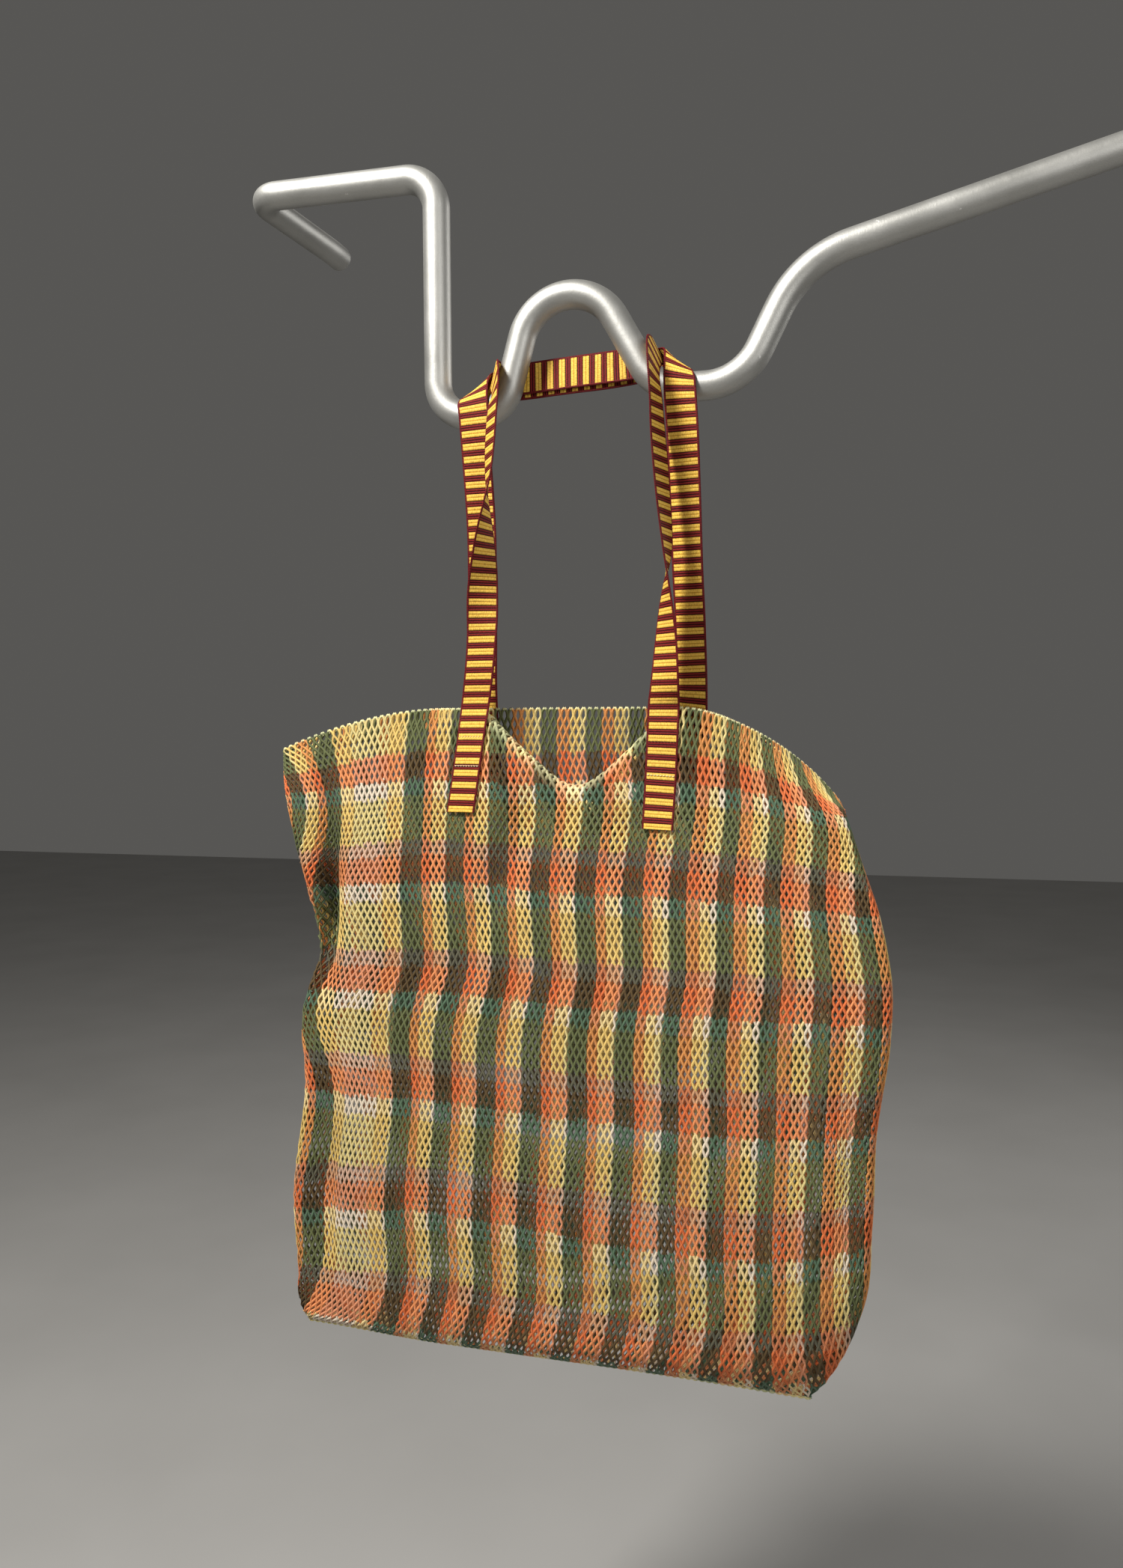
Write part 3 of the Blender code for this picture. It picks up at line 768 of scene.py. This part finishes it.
def webbing_material():
    """Ribbed webbing in maroon and mustard bars, with a maroon selvage along each edge."""
    nodes = Nodes("ribbed_webbing")
    strap = nodes.attribute("strap")
    run, across, _ = nodes.parts(strap)
    run_mm = nodes.math("MULTIPLY", run, 1000.0)
    threads = nodes.noise(nodes.scaled(strap, (260.0, 17.0, 3.0)), scale=1.0)
    ragged = nodes.math("ADD", run_mm, nodes.math("MULTIPLY_ADD", threads, 0.5, -0.25))
    phase = nodes.math("DIVIDE", nodes.math("MODULO", ragged, BAR_REPEAT), BAR_REPEAT)
    # The bars' colours carry painted shade at the ribs' edges and in the grooves.
    bars = nodes.ramp(phase, bar_stops())
    # The selvage gets painted shade between the beads of its cord.
    painted_bead_shade = nodes.math("SINE", nodes.math("MULTIPLY", run_mm, 2.0 * math.pi / SELVAGE_BEAD))
    painted_bead_shade = nodes.math("MULTIPLY_ADD", painted_bead_shade, 0.5, 0.5)
    selvage = nodes.shade(SELVAGE_COLOUR, painted_bead_shade, (0.1, 0.34), (0.7, 1.0))
    reach = nodes.math("ABSOLUTE", across)
    at_edge = nodes.ramp(reach, ((SELVAGE - 0.01, 0.0), (SELVAGE + 0.02, 1.0)))
    comb = nodes.noise(nodes.scaled(strap, (380.0, 30.0, 3.0)), scale=1.0, detail=1.0)
    comb_shade = nodes.ramp(comb, ((0.36, (0.66, 0.62, 0.60)), (0.56, 1.0)))
    nodes.finish(
        colour=nodes.mix(1.0, nodes.mix(at_edge, bars, selvage), comb_shade, "MULTIPLY"),
        roughness=nodes.ramp(comb, ((0.3, 0.58), (0.7, 0.8))),
        **{"Specular IOR Level": 0.2},
    )
    nodes.bump(comb, strength=0.8, distance=0.0006)
    return nodes.material


def stitch_material():
    """Waxed thread, cream or brown."""
    nodes = Nodes("stitch_thread")
    brown = nodes.parts(nodes.attribute("thread"))[0]
    fibres = nodes.noise(nodes.place(), scale=2500.0)
    cream = nodes.ramp(fibres, ((0.3, srgb(190, 168, 118)), (0.7, srgb(240, 226, 184))))
    dark = nodes.ramp(fibres, ((0.3, srgb(62, 30, 14)), (0.7, srgb(104, 60, 30))))
    nodes.finish(colour=nodes.mix(brown, cream, dark), roughness=0.55)
    nodes.bump(fibres, strength=0.4, distance=0.0002)
    return nodes.material


def steel_material():
    """Satin metal tube with faint draw lines, fingermarks and small knocks."""
    nodes = Nodes("satin_tube")
    smudges = nodes.noise(nodes.place(), scale=22.0, detail=4.0, roughness=0.6)
    lines = nodes.noise(nodes.place((1.0, 1.0, 0.12)), scale=900.0)
    grain = nodes.noise(nodes.place(), scale=1500.0, roughness=0.7)
    knocks = nodes.noise(nodes.place(), scale=120.0, detail=3.0, roughness=0.7)
    spots = nodes.ramp(knocks, ((0.70, 0.0), (0.75, 1.0)))
    colour = nodes.ramp(smudges, ((0.3, (0.42, 0.42, 0.40)), (0.7, (0.50, 0.50, 0.48))))
    colour = nodes.mix(spots, colour, (0.80, 0.80, 0.78, 1.0))
    nodes.finish(
        colour=nodes.shade(colour, grain, (0.3, 0.86), (0.7, 1.0)),
        roughness=nodes.ramp(smudges, ((0.3, 0.45), (0.7, 0.52))),
        Metallic=0.82,
    )
    nodes.bump(nodes.math("MULTIPLY_ADD", knocks, 3.0, lines), strength=0.14, distance=0.0003)
    return nodes.material


def floor_material():
    nodes = Nodes("pale_floor")
    patches = nodes.noise(nodes.place(), scale=3.0, detail=3.0)
    colour = nodes.ramp(patches, ((0.3, (0.37, 0.365, 0.355)), (0.7, (0.40, 0.395, 0.385))))
    nodes.finish(colour, roughness=0.9)
    return nodes.material


# ---- net


def warp_kind(s):
    """The kind of yarn in the wale at fabric coordinate s."""
    if 0.0 <= s < WIDE_WIDTH:
        place, stripes = s, WIDE_STRIPES
    elif s >= WIDE_WIDTH:
        place, stripes = (s - WIDE_WIDTH) % STRIPE_REPEAT, STRIPES
    elif s > -LEFT_GREEN:
        return 3
    else:
        place, stripes = (-s - LEFT_GREEN) % STRIPE_REPEAT, STRIPES
    return [kind for first, kind in stripes if place >= first][-1]


def signed_place(s):
    """Round the bag the stripes are counted from the wide field both ways, to the hidden join."""
    return s if s < GIRTH / 2.0 else s - GIRTH


def wale_stations():
    """Drops down one wale, and its swing there as a share of half the pitch."""
    drops, swings = list(ARCH_DROPS), list(ARCH_SWINGS)
    reach = 1.0 - KNOT_GAP / (WALE_PITCH / 2.0)
    for row in range(1, KNIT_ROWS + 1):
        turn = reach if row % 2 == 0 else -reach
        if row <= FINE_ROWS:
            drops.append((row - 0.5) * KNIT_PITCH)
            swings.append(0.0 if row > 1 else FIRST_FINE_SWING)
        drops += [row * KNIT_PITCH - KNOT_RUN, row * KNIT_PITCH + KNOT_RUN]
        swings += [turn, turn]
    drops[-1] = NET_DEPTH
    drops += [NET_DEPTH] * len(SEAM_REACH)
    swings += [swings[-1]] * len(SEAM_REACH)
    return np.array(drops), np.array(swings)


def closed_bottom(places):
    """The wales' last places, carried round under the bag to its seam."""
    count = len(SEAM_REACH)
    last = places[-count - 1]
    for k, reach in enumerate(SEAM_REACH):
        places[k - count] = last
        places[k - count, :, 1] += (SEAM_Y - last[:, 1]) * reach
        places[k - count, :, 2] -= SEAM_DROP * math.sin(reach * math.pi / 2.0)
    return places


def wale_paths(drops, swings, middles):
    """By wale and place: the fabric coordinate, the place, the bag's normal and the weft's slip."""
    partner = np.where(np.arange(WALES) % 2 == 0, 1.0, -1.0)
    s_rows = middles[None, :] + swings[:, None] * partner[None, :] * WALE_PITCH / 2.0
    lines = girth_lines(drops)
    found = fabric_places(lines, s_rows)
    places = closed_bottom(found[..., :3])
    # The normals come from straight wales, so that the zigzag doesn't turn them.
    straight = fabric_places(lines, np.broadcast_to(middles[None, :], s_rows.shape))[..., :3]
    straight = closed_bottom(straight)
    sideways = np.roll(straight, -NORMAL_REACH, axis=1) - np.roll(straight, NORMAL_REACH, axis=1)
    normals = unit(np.cross(np.gradient(straight, axis=0), sideways))
    paths = places - normals * NET_THICKNESS / 2.0
    return s_rows.T, paths.transpose(1, 0, 2), normals.transpose(1, 0, 2), found[..., 3].T


def build_net(material):
    """Zigzag wales from the rim's arches to the bottom seam, as closed tubes in four pieces."""
    drops, swings = wale_stations()
    middles = FIRST_WALE + (np.arange(WALES) + 0.5) * WALE_PITCH
    s_places, paths, normals, slips = wale_paths(drops, swings, middles)
    from_crest = (paths[..., 2] - roll_line(paths[..., 0])) / CREST_REACH
    at_crest = np.exp(-(from_crest**2)) * (paths[..., 1] < RAIL_PLANE)
    half_width = STRAND_HALF_WIDTH * (1.0 + CREST_SWELL * at_crest)
    half_depth = np.full(half_width.shape, STRAND_HALF_DEPTH)
    verts, across = tubes(paths, normals, half_width, half_depth, STRAND_SIDES)
    kinds = np.array([warp_kind(signed_place(s)) for s in middles], float)
    seeds = RNG.random((WALES, KNIT_ROWS + 1))[:, np.round(drops / KNIT_PITCH).astype(int)]
    depth_share = (drops + slips) / NET_DEPTH
    yarn = stacked(across.shape, kinds[:, None, None], depth_share[..., None], seeds[..., None])
    # The lay's second value marks the crest, which gets a painted highlight.
    lay = stacked(across.shape, across / STRAND_HALF_WIDTH, at_crest[..., None], 0.0)
    # The flat texture map keeps the cloth's own places, with the seam's last millimetres below them.
    beside = s_places[..., None] + across - middles[:, None, None]
    seam_run = np.concatenate([np.zeros(len(drops) - len(SEAM_REACH)), 1.0 + np.arange(len(SEAM_REACH))])
    up = 1.0 - (drops + seam_run)[:, None] / (NET_DEPTH + len(SEAM_REACH))
    per_piece = WALES // len(NET_PIECES)
    piece_middles = (np.arange(per_piece)[:, None, None] + 0.5) * WALE_PITCH
    corners, sides = tube_faces(per_piece, len(drops), STRAND_SIDES)
    quads = np.concatenate([sides, corners[:, 0, ::-1], corners[:, -1]])
    first = int(round((FRONT_START - FIRST_WALE) / WALE_PITCH))
    made = []
    for number, name in enumerate(NET_PIECES):
        own = (first + number * per_piece + np.arange(per_piece)) % WALES
        obj = quad_object(name, verts[own], quads, material)
        add_point_vectors(obj, "yarn", yarn[own])
        add_point_vectors(obj, "lay", lay[own])
        local = (piece_middles + beside[own]) / (GIRTH / len(NET_PIECES))
        flat = stacked(local.shape, local, up).reshape(-1, 2)
        add_flat_map(obj, np.clip(flat, 0.0, 1.0)[quads.ravel()])
        made.append(obj)
    return made


def build_seam(material):
    """The scalloped cord of loops that closes the bottom edge."""
    line = NET_LINES[-1]
    left, right = float(line[4]), float(line[5])
    count = int((right - left) / SEAM_STEP)
    along = np.linspace(0.0, 1.0, count)
    x, _, z = line_points(-1, along, line).T
    wave = np.abs(np.sin(math.pi * (x - left) / SEAM_LOOP))
    centres = np.stack([x, np.full(count, SEAM_Y), z - SEAM_DROP - SEAM_WAVE * wave], -1)
    thick = SEAM_HALF * (SEAM_THINNEST + (1.0 - SEAM_THINNEST) * wave)[None, :]
    thick[0, [0, -1]] = SEAM_TIP
    normals = np.tile([0.0, -1.0, 0.0], (1, count, 1))
    verts, _ = tubes(centres[None], normals, thick, thick, SEAM_SIDES)
    corners, quads = tube_faces(1, count, SEAM_SIDES)
    obj = quad_object("seam_cord", verts, quads, material)
    shape = corners.shape[1:]
    kinds = np.array([warp_kind(place) for place in fabric_coordinate(along)], float)
    seeds = RNG.random(count // SEAM_LOOP_PLACES + 1).repeat(SEAM_LOOP_PLACES)[:count]
    seeds = SEAM_SEEDS[0] + (SEAM_SEEDS[1] - SEAM_SEEDS[0]) * seeds
    yarn = stacked(shape, kinds[:, None], SEAM_COLOUR_DROP / NET_DEPTH, seeds[:, None])
    add_point_vectors(obj, "yarn", yarn)
    add_point_vectors(obj, "lay", np.zeros(shape + (3,)))
    flat = stacked(shape, along[:, None], np.arange(SEAM_SIDES) / SEAM_SIDES)
    add_flat_map(obj, flat.reshape(-1, 2)[quads.ravel()])
    return obj


plaid_yarn = net_material("plaid_yarn")
net_objects = build_net(plaid_yarn)
seam_cord = build_seam(plaid_yarn)
for obj in net_objects + [seam_cord]:
    dress(obj, "net_body")


# ---- handles

STRAP_STEP = 0.35
STRAP_LOOK = 0.5
# Heights on the webbing, as shares of half its thickness.
STRAP_BASE = 0.56
RIB_RISE = 0.44
CORD_RISE = 0.34
BEAD_RISE = 0.14
# The selvage cord's blend into the ribs, and its fall towards the strap's edge.
CORD_BLEND = 0.05
CORD_CROWN = 0.95
CORD_FALL = 0.7
EDGE_START = 0.96
# Places round the strap's section: across from -1 to 1, and height from -1 to 1.
STRAP_PLACES = (-0.97, -0.93, -0.88, -0.82, -0.40, 0.0, 0.40, 0.82, 0.88, 0.93, 0.97)
STRAP_SECTION = [(u, 1.0) for u in STRAP_PLACES] + [(1.0, 0.0)]
STRAP_SECTION += [(u, -1.0) for u in reversed(STRAP_PLACES)] + [(-1.0, 0.0)]
# The strap's flat map: lanes under each other, and their margins.
LANES = 6
LANE_MARGIN = 0.02
MAP_MARGIN = 0.01
CAP_PATCH = (0.004, 0.001)
STITCHES = 9
STITCH_SPREAD = 0.78
STITCH_LIFT = 0.1
STITCH_PLACES = 5
STITCH_SIDES = 8
STITCH_HALF = 0.42
STITCH_TAPER = 0.96
# Rows of stitches on each foot, as (millimetres from its cut end, stitch length, sag, thread).
# Threads: 0 cream, 1 brown.
STITCH_ROWS = {
    "left": ((61.0, 1.3, 0.0, 0.0), (38.0, 1.9, 0.7, 0.0)),
    "right": ((68.0, 1.2, 0.0, 1.0), (42.0, 1.6, 0.4, 0.0)),
}


def foot_line(foot):
    """Stations of a handle's foot, which lies flat on the net, from its cut end up to the rim."""
    face = foot["face"]
    stand = WEBBING_THICKNESS / 2.0 + FOOT_GAP
    centres, widths = [], []
    for drop in foot["drop"] * (1.0 - np.arange(FOOT_ROWS) / (FOOT_ROWS - 1)):
        middle = foot["x_rim"] + (foot["x_end"] - foot["x_rim"]) * drop / foot["drop"]
        left, right = net_points(face, np.array([0.0, 1.0]), [drop])[0, :, 0]
        across = (middle + np.array([-0.5, 0.0, 0.5]) * WEBBING_WIDTH - left) / (right - left)
        under = net_points(face, across, [drop])[0]
        centre = (under[0] + under[2]) / 2.0
        centre[1] = face * (max(face * centre[1], face * under[1, 1]) + stand)
        centres.append(centre)
        widths.append(unit(under[2] - under[0]))
    return centres, widths


def strap_stations(left_foot, table, right_foot):
    """At each step along a handle: its run, centre, width direction and outward direction."""
    centres, widths = foot_line(left_foot)
    centres += [np.array(row[:3], float) for row in table]
    widths += [unit(np.array(row[3:], float)) for row in table]
    last_centres, last_widths = foot_line(right_foot)
    centres = np.array(centres + last_centres[::-1])
    widths = np.array(widths + [-width for width in last_widths[::-1]])
    places = running_length(centres)
    length = places[-1]
    run = np.linspace(0.0, length, int(round(length / STRAP_STEP)) + 1)
    ahead = spline_rows(places, centres, np.minimum(run + STRAP_LOOK, length))
    behind = spline_rows(places, centres, np.maximum(run - STRAP_LOOK, 0.0))
    width = unit(spline_rows(places, widths, run))
    out = unit(np.cross(unit(ahead - behind), width))
    return run, spline_rows(places, centres, run), width, out


def strap_height(run, u):
    """Height of the webbing at a run and a share of its half width: ribs between beaded cords."""
    reach = np.abs(u)
    in_ribs = 1.0 - smooth_step(SELVAGE - CORD_BLEND, SELVAGE, reach)
    cord = smooth_step(SELVAGE, SELVAGE + CORD_BLEND, reach)
    cord = cord * (1.0 - CORD_FALL * smooth_step(CORD_CROWN, 1.0, reach))
    bead = BEAD_RISE * np.sin(2.0 * math.pi * run / SELVAGE_BEAD)
    height = STRAP_BASE + RIB_RISE * rib_height(run) * in_ribs + (CORD_RISE + bead) * cord
    return WEBBING_THICKNESS / 2.0 * (height - CORD_RISE * (reach > EDGE_START))


def lane_map(steps, ring, caps):
    """UV places of the strip cut in lanes, each with its front and back side by side."""
    per_lane = math.ceil(steps / LANES)
    row = np.repeat(np.arange(steps), ring)
    lane = row // per_lane
    start = (row - lane * per_lane) / per_lane
    around = np.tile(np.arange(ring), steps)
    corner_u = np.stack([start, start, start + 1.0 / per_lane, start + 1.0 / per_lane], -1)
    corner_v = np.stack([around, around + 1, around + 1, around], -1) / ring
    corner_v = (lane[:, None] + LANE_MARGIN + (1.0 - 2.0 * LANE_MARGIN) * corner_v) / LANES
    body = np.stack([corner_u * (1.0 - 2.0 * MAP_MARGIN) + MAP_MARGIN, corner_v], -1).reshape(-1, 2)
    cap = np.array([[0.0, 0.0], [1.0, 0.0], [1.0, 1.0], [0.0, 1.0]]) * CAP_PATCH
    return np.concatenate([body, np.tile(cap, (caps, 1))])


def build_strap(name, stations, material):
    """Webbing swept along its stations, with cross ribs and a corded selvage."""
    run, centre, width, out = stations
    section = np.array(STRAP_SECTION)
    u, level = section[:, 0], section[:, 1]
    ring = len(section)
    shape = (len(run), ring)
    # Bars lie along the strap's width, square to its cut ends.
    height = strap_height(run[:, None], u) * level
    verts = centre[:, None] + out[:, None] * height[..., None]
    verts += width[:, None] * (u * WEBBING_WIDTH / 2.0)[:, None]
    corners, sides = tube_faces(1, *shape)
    caps = []
    for row, turn in ((corners[0, 0], -1), (corners[0, -1], 1)):
        for k in range(ring // 2 - 1):
            caps.append([row[ring - 1 - k], row[k], row[k + 1], row[ring - 2 - k]][::turn])
    obj = quad_object(name, verts, np.concatenate([sides, caps]), material)
    add_point_vectors(obj, "strap", stacked(shape, run[:, None] * MM, u, level))
    add_flat_map(obj, lane_map(len(run) - 1, ring, len(caps)))
    return obj


def build_stitches(name, face, stations, material):
    """Rows of small stitches that hold a handle's two feet to the net."""
    run, centre, width, out = stations
    paths, normals, threads = [], [], []
    for side, rows in STITCH_ROWS.items():
        for distance, long, sag, thread in rows:
            at = distance if side == "left" else run[-1] - distance
            k = int(np.searchsorted(run, at))
            outward = out[k] * (1.0 if out[k][1] * face > 0.0 else -1.0)
            down = unit(centre[k - 1] - centre[k + 1]) * (1.0 if side == "left" else -1.0)
            top = centre[k] + outward * (WEBBING_THICKNESS / 2.0 + STITCH_LIFT)
            reach = np.linspace(-1.0, 1.0, STITCH_PLACES)[:, None]
            for number in range(STITCHES):
                u = STITCH_SPREAD * (2.0 * number / (STITCHES - 1) - 1.0)
                middle = top + width[k] * u * WEBBING_WIDTH / 2.0
                paths.append(middle + width[k] * reach * long / 2.0 + down * sag * (1.0 - reach**2))
                normals.append(np.tile(outward, (STITCH_PLACES, 1)))
                threads.append(thread)
    reach = np.linspace(-STITCH_TAPER, STITCH_TAPER, STITCH_PLACES)
    thick = np.tile(STITCH_HALF * np.sqrt(1.0 - reach**2), (len(paths), 1))
    verts, _ = tubes(np.array(paths), np.array(normals), thick, thick, STITCH_SIDES)
    corners, quads = tube_faces(len(paths), STITCH_PLACES, STITCH_SIDES)
    obj = quad_object(name, verts, quads, material)
    brown = np.array(threads)[:, None, None]
    add_point_vectors(obj, "thread", stacked(corners.shape, brown, brown, brown))
    return obj


webbing = webbing_material()
stitch_thread = stitch_material()
for side, table in (("front", FRONT_HANDLE), ("back", BACK_HANDLE)):
    left_foot, right_foot = FEET[side + "_left"], FEET[side + "_right"]
    stations = strap_stations(left_foot, table, right_foot)
    strap = build_strap("ribbed_" + side + "_handle", stations, webbing)
    feet = build_stitches("stitched_" + side + "_feet", left_foot["face"], stations, stitch_thread)
    for obj in (strap, feet):
        dress(obj, side + "_handle")


# ---- rail


def rounded_corner(before, corner, after, radius):
    """Places along the arc that rounds one corner of the centre line."""
    to_before = (before - corner).normalized()
    to_after = (after - corner).normalized()
    half = to_before.angle(to_after) / 2.0
    centre = corner + (to_before + to_after).normalized() * (radius / math.sin(half))
    start = corner + to_before * (radius / math.tan(half)) - centre
    end = corner + to_after * (radius / math.tan(half)) - centre
    turn = start.angle(end)
    steps = max(2, math.ceil(turn / BEND_STEP))
    axis = start.cross(end).normalized()
    return [centre + Quaternion(axis, turn * k / steps) @ start for k in range(steps + 1)]


def build_rail():
    """The tube on its centre line, from wall end to wall end."""
    corners = [Vector((0.0, 0.0, 0.0))]
    corners += [Vector(row[:3]) for row in RAIL_CORNERS]
    corners.append(Vector((corners[-1].x, 0.0, corners[-1].z)))
    path = [corners[0]]
    for i, (_, _, _, radius) in enumerate(RAIL_CORNERS, start=1):
        path += rounded_corner(corners[i - 1], corners[i], corners[i + 1], radius)
    path.append(corners[-1])
    curve = bpy.data.curves.new("rail_tube", "CURVE")
    curve.dimensions = "3D"
    curve.bevel_depth = TUBE_DIAMETER / 2.0 * MM
    curve.bevel_resolution = (RAIL_SIDES - 4) // 2
    curve.use_fill_caps = True
    spline = curve.splines.new("POLY")
    spline.points.add(len(path) - 1)
    for point, place in zip(spline.points, path):
        point.co = (*(place * MM), 1.0)
    spline.use_smooth = True
    curve.materials.append(steel_material())
    return new_object("rail_tube", curve)


dress(build_rail(), "rail")


# ---- stage, lights and camera, in metres

FLOOR_PLACE = (0.3, 0.0, -1.5)
FLOOR_SIZE = 14.0
STUDIO_COLOUR = (0.80, 0.78, 0.74, 1.0)
STUDIO_STRENGTH = 0.12
LIGHTS = (
    # name, place, aim, size, power, colour
    ("key", (-0.6, -1.3, 1.1), (0.25, -0.13, -0.6), 0.5, 86.0, (1.0, 0.97, 0.92)),
    ("fill", (1.8, -1.6, 0.2), (0.25, -0.13, -0.5), 1.2, 16.0, (1.0, 0.98, 0.95)),
    ("back", (2.3, 1.5, 0.5), (0.25, -0.13, -0.5), 1.5, 20.0, (1.0, 0.98, 0.95)),
)
# The photo's view: turned left and a little down, with the lens of a phone held about 0.9 m away.
CAMERA_PLACE = (0.4871, -1.0246, -0.4324)
CAMERA_ANGLES = (15.0, 3.25, 0.35)
SENSOR_HEIGHT = 36.0
LENS = 26.6


def build_stage():
    bpy.ops.mesh.primitive_plane_add(size=FLOOR_SIZE, location=FLOOR_PLACE)
    floor = bpy.context.object
    floor.name = "floor"
    floor.data.materials.append(floor_material())
    world = bpy.data.worlds.new("studio")
    world.use_nodes = True
    background = world.node_tree.nodes["Background"]
    background.inputs["Color"].default_value = STUDIO_COLOUR
    background.inputs["Strength"].default_value = STUDIO_STRENGTH
    bpy.context.scene.world = world
    bpy.context.scene.view_settings.view_transform = "Standard"


def add_light(name, place, aim, size, power, colour):
    data = bpy.data.lights.new(name, "AREA")
    data.shape = "DISK"
    data.size = size
    data.energy = power
    data.color = colour
    light = new_object(name, data)
    light.location = place
    light.rotation_euler = (Vector(aim) - Vector(place)).to_track_quat("-Z", "Y").to_euler()


def build_camera():
    yaw, pitch, roll = (math.radians(angle) for angle in CAMERA_ANGLES)
    turn = Matrix.Rotation(yaw, 4, "Z") @ Matrix.Rotation(math.pi / 2.0 - pitch, 4, "X")
    data = bpy.data.cameras.new("camera")
    data.sensor_fit = "VERTICAL"
    data.sensor_height = SENSOR_HEIGHT
    data.lens = LENS
    data.clip_start = 0.01
    camera = new_object("camera", data)
    camera.matrix_world = Matrix.Translation(CAMERA_PLACE) @ turn @ Matrix.Rotation(-roll, 4, "Z")
    bpy.context.scene.camera = camera


build_stage()
for light in LIGHTS:
    add_light(*light)
build_camera()
